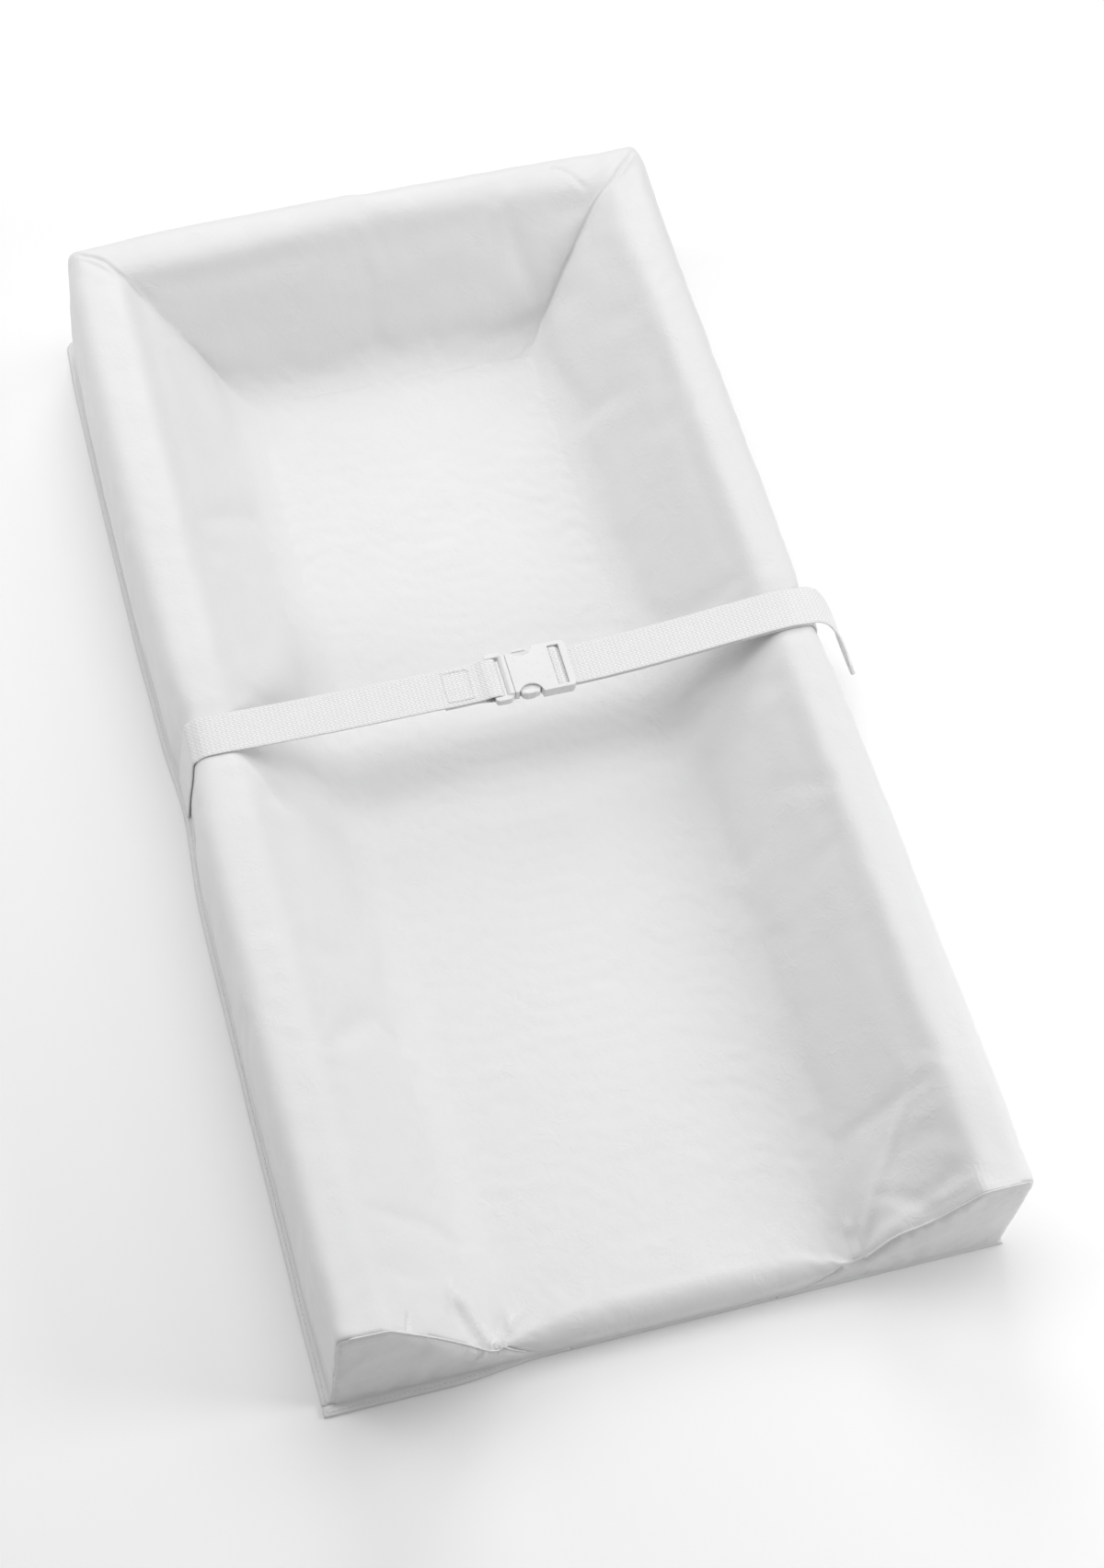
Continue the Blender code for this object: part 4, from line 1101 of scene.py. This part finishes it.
def joined(name, objects):
    """Several meshes as one object."""
    made = bmesh.new()
    for obj in objects:
        made.from_mesh(obj.data)
    mesh = bpy.data.meshes.new(name)
    made.to_mesh(mesh)
    made.free()
    mesh.shade_smooth()
    for obj in objects:
        bpy.data.objects.remove(obj, do_unlink=True)
    return placed(name, mesh)


def stitches(name, runs, up, pitch=0.0030, radius=0.00026):
    """Lockstitches along each run: short threads that dip into the cloth at both ends."""
    vertices, faces = [], []
    for run in runs:
        path = evenly(run, pitch)
        for a, b in zip(path, path[1:]):
            ahead = (b - a) / np.linalg.norm(b - a)
            rise = np.array(up(a), float)
            rise -= ahead * rise.dot(ahead)
            rise /= np.linalg.norm(rise)
            across = np.cross(ahead, rise)
            faces += tube_faces(6, 5, len(vertices))
            for share, size in ((0.06, 0.35), (0.22, 0.9), (0.5, 1.0), (0.78, 0.9), (0.94, 0.35)):
                centre = a + (b - a) * share + rise * radius * (1.1 * math.sin(math.pi * share) - 0.3)
                for k in range(6):
                    turn = math.pi / 3 * k
                    way = across * math.cos(turn) + rise * math.sin(turn)
                    vertices.append(centre + way * radius * size)
    return face_out(new_object(name, vertices, faces))


def build_seams(looks, seams, bottom_loop):
    """The piped edge of each gusset and the stitches that close the cover round its base."""
    welts = []
    for path in seams:
        lowest = 0.012 if path[0, 0] < 0 else 0.031
        raised = path[path[:, 2] > lowest] + (0.0, -0.0003, 0.0002)
        welts.append(tube("welt", raised, 0.00055))
    dress(joined("cover_gusset_welts", welts), "pad", looks["vinyl"], "cover_vinyl")
    middle = bottom_loop.mean(axis=0)
    inward = middle - bottom_loop
    inward[:, 2] = 0.0
    inward /= np.linalg.norm(inward, axis=1)[:, None]
    along = np.roll(bottom_loop, -1, axis=0) - np.roll(bottom_loop, 1, axis=0)
    across = np.stack([along[:, 1], -along[:, 0], np.zeros(len(along))], axis=1)
    across /= np.linalg.norm(across, axis=1)[:, None] + 1e-12
    across *= np.sign((across * inward).sum(axis=1))[:, None]
    run = bottom_loop + across * 0.0026
    run[:, 2] = LIP - 0.0002
    run = np.vstack([run, run[:1]])
    made = stitches("cover_base_stitches", [run], lambda p: (0, 0, 1))
    dress(made, "pad", looks["thread"], "cover_vinyl")


# ---------------------------------------------------------------- underside
def pocket_height(x, y, grow=0.0):
    """How far the underside rises over an anchor strap, in a pocket wider by grow all round."""
    high = np.zeros(len(x))
    for line, way in ANCHORS.values():
        beside = np.abs(x) - POCKET_HALF_X
        ahead = np.abs(y - (line + way * POCKET_MIDDLE)) - POCKET_HALF_Y
        share = 1 - ease((np.maximum(beside, ahead) - grow + 0.0015) / 0.0030)
        high = np.maximum(high, POCKET_ROOF * share)
    return high


def build_bottom(looks, loop):
    """Underside of the cover, with a shallow pocket for each anchor strap and small raised dots."""
    edge = [Vector((p[0], p[1])) for p in loop]
    step = 0.0075
    outline = loop[:, :2]
    xs = np.arange(-HALF + 0.004, HALF, step)
    inside = [Vector((x, y)) for x in xs for y in np.arange(FOOT + 0.003, HEAD, step)]
    for line, way in ANCHORS.values():
        middle = line + way * POCKET_MIDDLE
        for grow in (-0.0030, -0.0015, 0.0, 0.0015, 0.0030):
            half_x, half_y = POCKET_HALF_X + grow, POCKET_HALF_Y + grow
            for s in np.linspace(-1, 1, 12):
                inside += [Vector((s * half_x, middle + half_y)), Vector((s * half_x, middle - half_y))]
            for s in np.linspace(-1, 1, 34)[1:-1]:
                inside += [Vector((half_x, middle + s * half_y)), Vector((-half_x, middle + s * half_y))]
    keep = [p for p in inside if np.abs(outline - (p.x, p.y)).max(axis=1).min() > 0.002]
    joins = [(i, (i + 1) % len(edge)) for i in range(len(edge))]
    found, _, faces, _, _, _ = geometry.delaunay_2d_cdt(edge + keep, joins, [], 1, 1e-6)
    flat = np.array([tuple(p) for p in found])
    high = pocket_height(flat[:, 0], flat[:, 1])
    points = np.column_stack([flat, DOT_HEIGHT + high])
    panel = new_object("cover_bottom", points, faces)
    turn_faces(panel, -1)
    thicken(panel, 0.0008)
    dress(panel, "pad", looks["base"], "nonskid_base", "cover_bottom_panel")
    dots = []
    for i, y in enumerate(np.arange(FOOT + 0.008, HEAD - 0.006, DOT_PITCH)):
        row = np.arange(-HALF + 0.010 + DOT_PITCH / 2 * (i % 2), HALF - 0.008, DOT_PITCH)
        dots += [(x, y) for x in row]
    dots = np.array(dots)
    dots = dots[pocket_height(dots[:, 0], dots[:, 1]) < 1e-6]
    vertices, faces = [], []
    ring = [(math.cos(a), math.sin(a)) for a in np.linspace(0, 2 * math.pi, 8, endpoint=False)]
    for x, y in dots:
        faces += tube_faces(len(ring), 2, len(vertices))
        for radius, z in ((DOT_RADIUS, DOT_HEIGHT + 0.0002), (DOT_RADIUS * 0.72, 0.00005)):
            vertices += [(x + radius * u, y + radius * v, z) for u, v in ring]
    made = face_out(new_object("cover_bottom_dots", vertices, faces))
    dress(made, "pad", looks["base"], "nonskid_base")


# ---------------------------------------------------------------- foam
def build_foam(looks):
    """The foam blocks with the soft edges of cut foam."""
    for name, node in FOAMS.items():
        block = placed(name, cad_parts[node].data.copy())
        modify(block, "REMESH", mode="VOXEL", voxel_size=0.005)
        modify(block, "SMOOTH", iterations=2, factor=0.5)
        points = points_of(block.data)
        out = normals_of(block.data)
        cut = 0.00035 * fractal(points, 0.009, 5)
        points = points + out * (cut - 0.0018)[:, None]
        share = np.clip((points[:, 2] - LIP) / (HEIGHT - LIP), 0, 1)
        d = HEAD - points[:, 1]
        at_head = ease((HALF - np.abs(points[:, 0]) - d) / 0.010 + 0.5)
        points[:, 1] += head_lean(d, points[:, 0]) * share * at_head
        points[:, 0] += TOP_LEAN * share
        over_pocket = pocket_height(points[:, 0], points[:, 1], 0.006) + DOT_HEIGHT + 0.0018
        points[:, 2] = np.maximum(points[:, 2], over_pocket)
        set_points(block.data, points)
        block.data.shade_smooth()
        dress(block, "pad", looks["foam"], "foam", node)


# ---------------------------------------------------------------- webbing
def band(name, path, width, finish, side=(0.0, 1.0, 0.0), thick=None, taper=None, cells=20):
    """A woven strap along a path of (x, y, z) points: closed, with its weave in relief."""
    path = np.array(path, float)
    along = np.concatenate([[0], np.cumsum(np.linalg.norm(np.diff(path, axis=0), axis=1))])
    rows = int(along[-1] / WEAVE_ROW) + 1
    at = np.linspace(0, along[-1], rows)
    line = np.stack([np.interp(at, along, path[:, k]) for k in range(3)], axis=1)
    half = np.full(rows, WEBBING_SHEET / 2)
    if thick is not None:
        half = np.interp(at, along, thick) / 2
    side = np.array(side)
    ahead = np.gradient(line, axis=0)
    ahead /= np.linalg.norm(ahead, axis=1)[:, None]
    up = np.cross(ahead, side)
    up /= np.linalg.norm(up, axis=1)[:, None]
    count = cells * 4
    u = np.linspace(-1, 1, count + 1) * width / 2
    wide = np.ones(rows) if taper is None else taper(at, along[-1])
    wave = 0.00016 * fractal(line * (1, 0, 1) + (0, 1, 0), 0.012, 4)
    column = np.clip((u + width / 2) / (width / cells), 0, cells - 1e-6)
    cross = np.abs(np.sin(math.pi * column)) ** 0.7
    phase = at[:, None] / WEAVE_PITCH + 0.5 * (np.floor(column) % 2)[None, :]
    phase = phase + 0.10 * np.sin(math.pi * column)[None, :]
    relief = cross[None, :] * np.abs(np.sin(math.pi * phase)) ** 0.7
    edge = np.clip((width / 2 - np.abs(u)) / 0.0009, 0, 1)
    edge = np.sqrt(np.clip(1 - (1 - edge) ** 2, 0.0, 1))
    relief = relief * np.where(edge < 1, 0.6, 1.0)[None, :]
    high = (half[:, None] + WEAVE_DEPTH * (2 * relief - 1)) * (0.12 + 0.88 * edge)[None, :]
    spread = u[None, :] * wide[:, None] + wave[:, None]
    middle = line[:, None, :] + spread[:, :, None] * side
    upper = middle + up[:, None, :] * high[:, :, None]
    lower = (middle - up[:, None, :] * high[:, :, None])[:, -2:0:-1]
    ring = np.concatenate([upper, lower], axis=1)
    size = ring.shape[1]
    index = np.arange(rows * size).reshape(rows, size)
    beside = np.roll(index, -1, axis=1)
    quads = np.stack([index[:-1], beside[:-1], beside[1:], index[1:]], axis=-1).reshape(-1, 4)
    faces = quads.tolist() + [index[0][::-1].tolist(), index[-1].tolist()]
    obj = face_out(new_object(name, ring.reshape(-1, 3), faces))
    depth = np.concatenate([relief, relief[:, -2:0:-1]], axis=1)
    place_u = np.concatenate([u, u[-2:0:-1]])
    place = np.zeros((rows, size, 3))
    place[:, :, 0] = place_u[None, :]
    place[:, :, 1] = at[:, None]
    first = obj.data.attributes.new("weave", "FLOAT_VECTOR", "POINT")
    first.data.foreach_set("vector", place.astype(np.float32).ravel())
    # weave_depth is the weave's relief at each point; the webbing's material darkens its colour in the
    # grooves by it, as painted shade.
    second = obj.data.attributes.new("weave_depth", "FLOAT", "POINT")
    second.data.foreach_set("value", depth.astype(np.float32).ravel())
    obj.data.materials.append(finish)
    return obj, float(along[-1])


def belt_middle(x):
    """y of the webbing's middle along the span."""
    left = BELT_Y_LEFT + (BUCKLE_Y - BELT_Y_LEFT) * ease((x + LEAVE_X) / (LEAVE_X - 0.02))
    right = BUCKLE_Y + (BELT_Y_RIGHT - BUCKLE_Y) * ease((x - 0.05) / (LEAVE_X - 0.05))
    return np.where(x < -0.02, left, right)


def wall_run(surface, side):
    """(x, z) from the base up the wall and over the rim, lying on the cover."""
    run = []
    for z in np.linspace(LIP + 0.0006, RIM_AT_BELT - 0.012, 14):
        middle = float(belt_middle_on_wall(np.array(z), side))
        hit, _, _, _ = surface.ray_cast(Vector((side * 0.3, middle, z)), Vector((-side, 0, 0)))
        run.append((hit.x + side * (LIFT + 0.0001), z))
    for x in np.linspace(HALF - 0.007, LEAVE_X, 6):
        middle = float(belt_middle_on_wall(np.array(RIM_AT_BELT), side))
        hit, _, _, _ = surface.ray_cast(Vector((side * x, middle, 0.2)), Vector((0, 0, -1)))
        run.append((side * x, hit.z + LIFT + 0.0001))
    ends = run[13], run[14]
    for share in (0.33, 0.67):
        turn = share * math.pi / 2
        x = ends[0][0] + (ends[1][0] - ends[0][0]) * (1 - math.cos(turn))
        z = ends[0][1] + (ends[1][1] - ends[0][1]) * math.sin(turn)
        run.insert(14 + (share > 0.5), (x, z))
    return run


def belt_points(path, shift):
    """(x, z) points with the y of the webbing's middle: it slants towards the head down the wall."""
    path = np.array(path)
    x, z = path.T
    on_wall = np.abs(x) > HALF - 0.012
    slant = np.where(on_wall, shift * (1 - ease(z / RIM_AT_BELT)), 0.0)
    return np.stack([x, belt_middle(x) + slant, z], axis=1)


def build_left_strap(looks, surface):
    wall = wall_run(surface, -1)
    over = BUCKLE_Z + 0.0015 + LIFT
    under = 2 * BUCKLE_Z - over
    bar_end = PLUG_BAR_X + 0.0032
    span = [wall[-1]]
    for x in (-0.140, -0.105, -0.070):
        span.append((x, BELT_Z - BELT_SAG * (1 - (x / LEAVE_X) ** 2) + LAYER / 2))
    high, low = BUCKLE_Z + LAYER / 2, BUCKLE_Z - LAYER / 2
    span += [(-0.040, high), (-0.0185, high), (-0.0100, over), (bar_end, over)]
    turn = arc((bar_end, BUCKLE_Z), over - BUCKLE_Z, 90, -90, 14)
    hem = [(bar_end, under), (-0.0100, under), (-0.0185, low), (LEFT_HEM_X, low)]
    path = np.vstack([smooth_path(wall)[:-1], smooth_path(span), turn[1:-1], smooth_path(hem)])
    strap, length = band("webbing_left", belt_points(path, LEFT_ANCHOR_SHIFT), WEBBING, looks["webbing"])
    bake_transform(strap)
    dress(strap, None, looks["webbing"], "webbing", "belt_left_strap")


def right_layers(surface):
    """Lower and upper layers of the adjustable half, as (x, z) points."""
    wall = wall_run(surface, 1)
    load = BUCKLE_Z - 0.0019
    over = BUCKLE_Z + 0.0024
    tail = load + LAYER
    rise = [load + (BELT_Z - load) * ((x - 0.04) / (LEAVE_X - 0.04)) ** 1.6 for x in (0.140, 0.105, 0.075)]
    lower = [wall[-1], (0.140, rise[0]), (0.105, rise[1]), (0.075, rise[2])]
    lower += [(0.050, load), (BAR_NEAR, load)]
    turn = arc((BAR_NEAR, (load + over) / 2), (over - load) / 2, -90, -270, 14)
    upper = [(BAR_NEAR, over), (BAR_NEAR + 0.0028, over - 0.0001), (0.0402, BUCKLE_Z + 0.0004)]
    upper += [(SOCKET_END_X, tail), (0.0510, tail), (0.075, rise[2] + LAYER), (0.105, rise[1] + LAYER)]
    upper += [(0.140, rise[0] + LAYER), (LEAVE_X, BELT_Z + LAYER), (TAIL_X, BELT_Z + LAYER)]
    return wall, smooth_path(lower), turn, upper


def build_right_strap(looks, surface):
    wall, lower, turn, upper = right_layers(surface)
    path = np.vstack([smooth_path(wall)[:-1], lower, turn[1:-1], smooth_path(upper[:4])])
    strap, length = band("webbing_right", belt_points(path, RIGHT_ANCHOR_SHIFT), WEBBING, looks["webbing"])
    dress(strap, "pad", looks["webbing"], "webbing", "belt_right_strap")


def build_tail(looks, surface):
    """From under the far bar back over the lower layer, over the rim and down, with a sewn tip."""
    _, _, _, upper = right_layers(surface)
    hang = [(0.2100, 0.0970), (0.2205, 0.0810), (0.2280, 0.0610), (0.2332, 0.0445), (0.2364, 0.0345)]
    hang.append((0.2385, 0.0285))
    path = smooth_path(upper[3:] + hang)
    points = belt_points(path, 0.0)
    steps = np.concatenate([[0], np.cumsum(np.linalg.norm(np.diff(points, axis=0), axis=1))])
    thick = np.where(steps > steps[-1] - HEM, 2 * WEBBING_SHEET + 0.0002, WEBBING_SHEET)
    tail, length = band("webbing_tail", points, WEBBING, looks["webbing"], thick=thick)
    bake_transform(tail)
    dress(tail, None, looks["webbing"], "webbing", "belt_tail")
    return points, steps


def build_belt_stitches(looks, tail_points, tail_steps):
    """Sewn box on the loop round the plug's bar, and two rows across the free end's hem."""
    top = BUCKLE_Z + LAYER / 2 + WEBBING_SHEET / 2 + 0.00018
    low_x, high_x = LEFT_HEM_X + 0.0030, -0.0205
    half = WEBBING / 2 - 0.0035
    middle = float(belt_middle(np.array(-0.03)))
    box = [(low_x, -half), (high_x, -half), (high_x, half), (low_x, half), (low_x, -half)]
    run = [(x, middle + y, top) for x, y in box]
    runs = [[a, b] for a, b in zip(run, run[1:])]
    under = [[(x, y, 2 * BUCKLE_Z - z) for x, y, z in r] for r in runs]
    for name, lines, up in (("stitches", runs, (0, 0, 1)), ("stitches_under", under, (0, 0, -1))):
        made = stitches("webbing_left_" + name, lines, lambda p: up, pitch=BELT_STITCH)
        dress(made, "buckle_plug", looks["thread"], "webbing")
    runs = []
    for back in (0.0018, HEM - 0.0014):
        at = tail_steps[-1] - back
        centre = np.array([np.interp(at, tail_steps, tail_points[:, k]) for k in range(3)])
        k = np.searchsorted(tail_steps, at)
        ahead = tail_points[k] - tail_points[k - 1]
        up = np.cross(ahead / np.linalg.norm(ahead), (0, 1, 0))
        centre = centre + up * (WEBBING_SHEET + 0.0003)
        runs.append(([centre + (0, -half, 0), centre + (0, half, 0)], up))
    made = stitches("webbing_tail_stitches", [r for r, _ in runs], lambda p: runs[0][1], pitch=BELT_STITCH)
    dress(made, "belt_tail", looks["thread"], "webbing")


# ---------------------------------------------------------------- buckle
def prism(name, outline, low, high, axis="z"):
    """An outline extruded from low to high. Axis z takes (x, y) points, y takes (x, z), x takes (y, z)."""
    order = {"z": lambda u, v, h: (u, v, h), "y": lambda u, v, h: (u, h, v), "x": lambda u, v, h: (h, u, v)}
    points = [order[axis](u, v, h) for h in (low, high) for u, v in outline]
    return face_out(new_object(name, points, tube_faces(len(outline), 2), False))


def brick(low, high):
    outline = [(low[0], low[1]), (high[0], low[1]), (high[0], high[1]), (low[0], high[1])]
    return prism("brick", outline, low[2], high[2])


def both_halves(corners):
    """Corners of the lower half, joined to their mirror image."""
    return corners + [(u, -v, radius) for u, v, radius in reversed(corners)]


def moulded(name, solid, cutters, additions=(), grain=VOXEL, smooth=5):
    """A solid less its cutters, with the rounded edges of a moulded part."""
    for other, operation in [(o, "UNION") for o in additions] + [(o, "DIFFERENCE") for o in cutters]:
        modify(solid, "BOOLEAN", operation=operation, solver="EXACT", object=other)
        bpy.data.objects.remove(other, do_unlink=True)
    modify(solid, "REMESH", mode="VOXEL", voxel_size=grain, adaptivity=0.0)
    modify(solid, "SMOOTH", iterations=smooth, factor=0.5)
    solid.name = name
    solid.data.shade_smooth()
    return solid


def to_buckle(obj):
    obj.data.transform(Matrix.Translation((0.0, BUCKLE_Y, BUCKLE_Z)))
    return obj


def build_plug(looks):
    """Bar with ears, a full-height collar that closes the socket's mouth, and the guide tongue."""
    slot_start = PLUG_BAR_X + 0.0035
    slot_end = slot_start + 0.0050
    collar_end = SOCKET_MOUTH_X - 0.00015
    half = 0.0027
    corners = [
        (PLUG_BAR_X, -0.0181, 0.0026),
        (slot_end + 0.0016, -0.0181, 0.0032),
        (slot_end + 0.0034, -0.0152, 0.0008),
        (collar_end, -0.0148, 0.0004),
    ]
    solid = prism("plug", rounded(both_halves(corners), 6), -half, half)
    cut = 0.0148
    cutters = [
        brick((slot_start, -cut, -0.01), (slot_end, cut, 0.01)),
        brick((PLUG_BAR_X - 0.001, -cut, 0.0016), (slot_start + 0.001, cut, 0.01)),
        brick((PLUG_BAR_X - 0.001, -cut, -0.01), (slot_start + 0.001, cut, -0.0016)),
    ]
    nose = 0.0262
    tongue = [(0.0035, -0.0028, 0), (nose, -0.0028, 0.0024), (nose, 0.0028, 0.0024), (0.0035, 0.0028, 0)]
    adds = [prism("tongue", rounded(tongue, 5), -0.0021, 0.0021)]
    collar = [
        (slot_end - 0.0001, -0.0024, 0.0006),
        (slot_end + 0.0014, -SOCKET_HALF_HEIGHT, 0.0016),
        (collar_end, -SOCKET_HALF_HEIGHT, 0.0004),
    ]
    adds.append(prism("collar", rounded(both_halves(collar), 5), -0.0149, 0.0149, "y"))
    plug = to_buckle(moulded("plug_moulding", solid, cutters, adds))
    dress(plug, "buckle_plug", looks["plastic"], "buckle_plastic", "buckle_plug")


def build_arm(looks, name, side):
    outline = [
        (0.0051, 0.0082), (0.0210, 0.0082), (0.0262, 0.0098), (0.0264, 0.0116), (0.0214, 0.0136),
        (0.0200, 0.0158), (0.0180, 0.0166), (0.0120, 0.0166), (0.0090, 0.0156), (0.0082, 0.0128),
        (0.0070, 0.0112), (0.0051, 0.0108),
    ]  # fmt: skip
    solid = prism("arm", [(x, side * y) for x, y in outline], -0.0023, 0.0023)
    pad = [(0.0086, 0.0138, 0), (0.0094, 0.0164, 0.0012), (0.0124, 0.0172, 0.0030)]
    pad += [(0.0176, 0.0172, 0.0030), (0.0206, 0.0162, 0.0012), (0.0212, 0.0138, 0)]
    lobe = prism("lobe", [(x, side * y) for x, y in rounded(pad, 5)], -0.0025, 0.0025)
    crown = [(0.0100, 0.0154, 0), (0.0104, 0.0164, 0.0008), (0.0128, 0.0172, 0.0022)]
    crown += [(0.0164, 0.0172, 0.0022), (0.0183, 0.0164, 0.0008), (0.0186, 0.0154, 0)]
    raised = prism("crown", [(x, side * y) for x, y in rounded(crown, 5)], -0.0035, 0.0035)
    grips = []
    for k in range(4):
        x = 0.0118 + 0.0021 * k
        grips.append(prism("grip", arc((x, side * 0.0175), 0.0005, 0, 330, 11), -0.01, 0.01))
    arm = to_buckle(moulded(name, solid, grips, [lobe, raised], grain=0.00022, smooth=3))
    body = "latch_arm_head" if side > 0 else "latch_arm_foot"
    node = body + "_side"
    dress(arm, body, looks["plastic"], "buckle_plastic", node)


def build_socket(looks):
    """Housing with thumb windows in its sides, and a ladder of two bars for the webbing."""
    wide = 0.0174
    high = SOCKET_HALF_HEIGHT
    corners = [
        (SOCKET_MOUTH_X, -0.0149, 0.0004),
        (0.0078, -0.0152, 0.0020),
        (0.0112, -wide, 0.0040),
        (SOCKET_END_X, -wide, 0.0034),
    ]
    solid = prism("socket", rounded(both_halves(corners), 6), -high, high)
    body_end, lip_end, near_end, far = 0.0305, 0.0328, 0.0368, 0.0400
    cut = 0.0148
    cutters = [
        brick((-0.005, -0.0142, -0.0027), (body_end - 0.0020, 0.0142, 0.0027)),
        brick((body_end, -cut, -0.01), (0.0340, cut, 0.0033)),
        brick((near_end, -cut, -0.01), (far, cut, 0.01)),
        brick((body_end, -cut, 0.0016), (far, cut, 0.0033)),
        brick((lip_end, -cut, 0.0016), (far, cut, 0.01)),
        brick((body_end, -cut, -0.01), (far, cut, -0.0009)),
        brick((far - 0.001, -cut, -0.01), (SOCKET_END_X + 0.001, cut, 0.0016)),
    ]
    for side in (1, -1):
        rim = arc((0.0148, side * 0.0185), 0.0082, 0, -180 * side, 24)
        rim += [(0.0148 - 0.0082, side * 0.022), (0.0148 + 0.0082, side * 0.022)]
        cutters.append(prism("window", rim, -0.01, 0.01))
    socket = moulded("socket_moulding", solid, cutters)
    points = points_of(socket.data)
    x, y, z = points.T
    share = np.clip((x - 0.005) / (body_end - 0.005), 0, 1)
    crown = 0.00055 * np.sin(math.pi * share) ** 0.7 * np.clip(1 - (y / wide) ** 2, 0, 1)
    points[:, 2] = z + np.where(z > 0.0034, crown, 0) - np.where(z < -0.0034, crown, 0)
    set_points(socket.data, points)
    dress(to_buckle(socket), "pad", looks["plastic"], "buckle_plastic", "buckle_socket")


# ---------------------------------------------------------------- anchors and label
def turned(name, profile_points, centre, sides=40):
    """A lathe-turned part from (radius, z) points, closed."""
    turn = np.linspace(0, 2 * math.pi, sides, endpoint=False)
    count = len(profile_points)
    x, y = centre
    vertices = []
    for a in turn:
        vertices += [(x + r * math.cos(a), y + r * math.sin(a), z) for r, z in profile_points]
    faces = []
    for i in range(sides):
        j = (i + 1) % sides
        for k in range(count - 1):
            faces.append([i * count + k, j * count + k, j * count + k + 1, i * count + k + 1])
    made = new_object(name, vertices, faces)
    edit(made.data, lambda work: bmesh.ops.remove_doubles(work, verts=work.verts, dist=1e-6))
    face_out(made)
    made.data.set_sharp_from_angle(angle=0.9)
    return made


def build_anchor(looks, name):
    line, way = ANCHORS[name]
    z = 0.0016 + 0.0007
    path = [(0.0, line + way * 0.0006, z), (0.0, line + way * 0.0990, z)]

    def taper(at, length):
        return 1 - 0.30 * ease((at - length + 0.0040) / 0.0040)

    side = (1.0, 0.0, 0.0)
    made = band("anchor_webbing_" + name, path, ANCHOR_WIDTH, looks["webbing"], side, taper=taper, cells=18)
    strap, length = made
    body = "anchor_" + name
    dress(strap, body, looks["webbing"], "webbing", f"anchor_strap_{name}")
    y = line + way * 0.0860
    cap = [(0, 0.0003), (0.0050, 0.0003), (0.0059, 0.00045), (0.0062, 0.0008), (0.0061, 0.0012)]
    cap += [(0.0052, 0.0013), (0.0026, 0.0013), (0.0024, 0.0016), (0.0024, 0.0048), (0.0020, 0.0052)]
    cap.append((0, 0.0052))
    piece = turned(f"anchor_{name}_cap", cap, (0, y))
    dress(piece, body, looks["steel"], "press_stud", f"anchor_{name}_stud_cap")
    ring = [(0.0028, 0.0034), (0.0052, 0.0033), (0.0055, 0.0036), (0.0055, 0.0044), (0.0048, 0.0050)]
    ring += [(0.0040, 0.0053), (0.0034, 0.0053), (0.0028, 0.0049), (0.0028, 0.0034)]
    piece = turned(f"anchor_{name}_socket", ring, (0, y))
    dress(piece, body, looks["steel"], "press_stud", f"anchor_{name}_stud_socket")
    runs = []
    for back in (0.0030, 0.0075):
        at = line + way * back
        runs.append([(-0.0105, at, z - 0.0009), (0.0105, at, z - 0.0009)])
    made = stitches(f"anchor_{name}_stitches", runs, lambda p: (0, 0, -1), pitch=BELT_STITCH)
    dress(made, body, looks["thread"], "webbing")


def build_label(looks, surface):
    """Blank satin label, sewn in with the base seam."""
    columns, rows = 30, 20
    width, height = 0.0450, 0.0270
    points = []
    for j in range(rows + 1):
        for i in range(columns + 1):
            x = LABEL_X + (i / columns - 0.5) * width
            z = LIP + 0.0004 + height * j / rows
            hit, _, _, _ = surface.ray_cast(Vector((x, 0.6, z)), Vector((0, -1, 0)))
            lift = 0.0006 + 0.0022 * (j / rows) ** 2 + 0.0005 * math.sin(i * 0.35) * (j / rows)
            points.append((x, hit.y + lift, z))
    faces = []
    for j in range(rows):
        for i in range(columns):
            a = j * (columns + 1) + i
            faces.append([a, a + 1, a + columns + 2, a + columns + 1])
    label = new_object("label", points, faces)
    thicken(label, 0.0004)
    dress(label, "pad", looks["label"], "label_satin", "care_label")


def main():
    make_camera()
    make_studio()
    looks = {
        "vinyl": make_vinyl(),
        "base": make_base_vinyl(),
        "foam": make_foam(),
        "webbing": make_webbing(),
        "plastic": make_plastic(),
        "steel": make_steel(),
        "thread": make_thread(),
        "label": make_label_satin(),
    }
    build_foam(looks)
    surface, seams, bottom_loop = build_cover(looks)
    build_bottom(looks, bottom_loop)
    build_seams(looks, seams, bottom_loop)
    build_left_strap(looks, surface)
    build_right_strap(looks, surface)
    tail_points, tail_steps = build_tail(looks, surface)
    build_belt_stitches(looks, tail_points, tail_steps)
    build_plug(looks)
    build_arm(looks, "arm_head_side", 1)
    build_arm(looks, "arm_foot_side", -1)
    build_socket(looks)
    build_anchor(looks, "head")
    build_anchor(looks, "foot")
    build_label(looks, surface)


main()
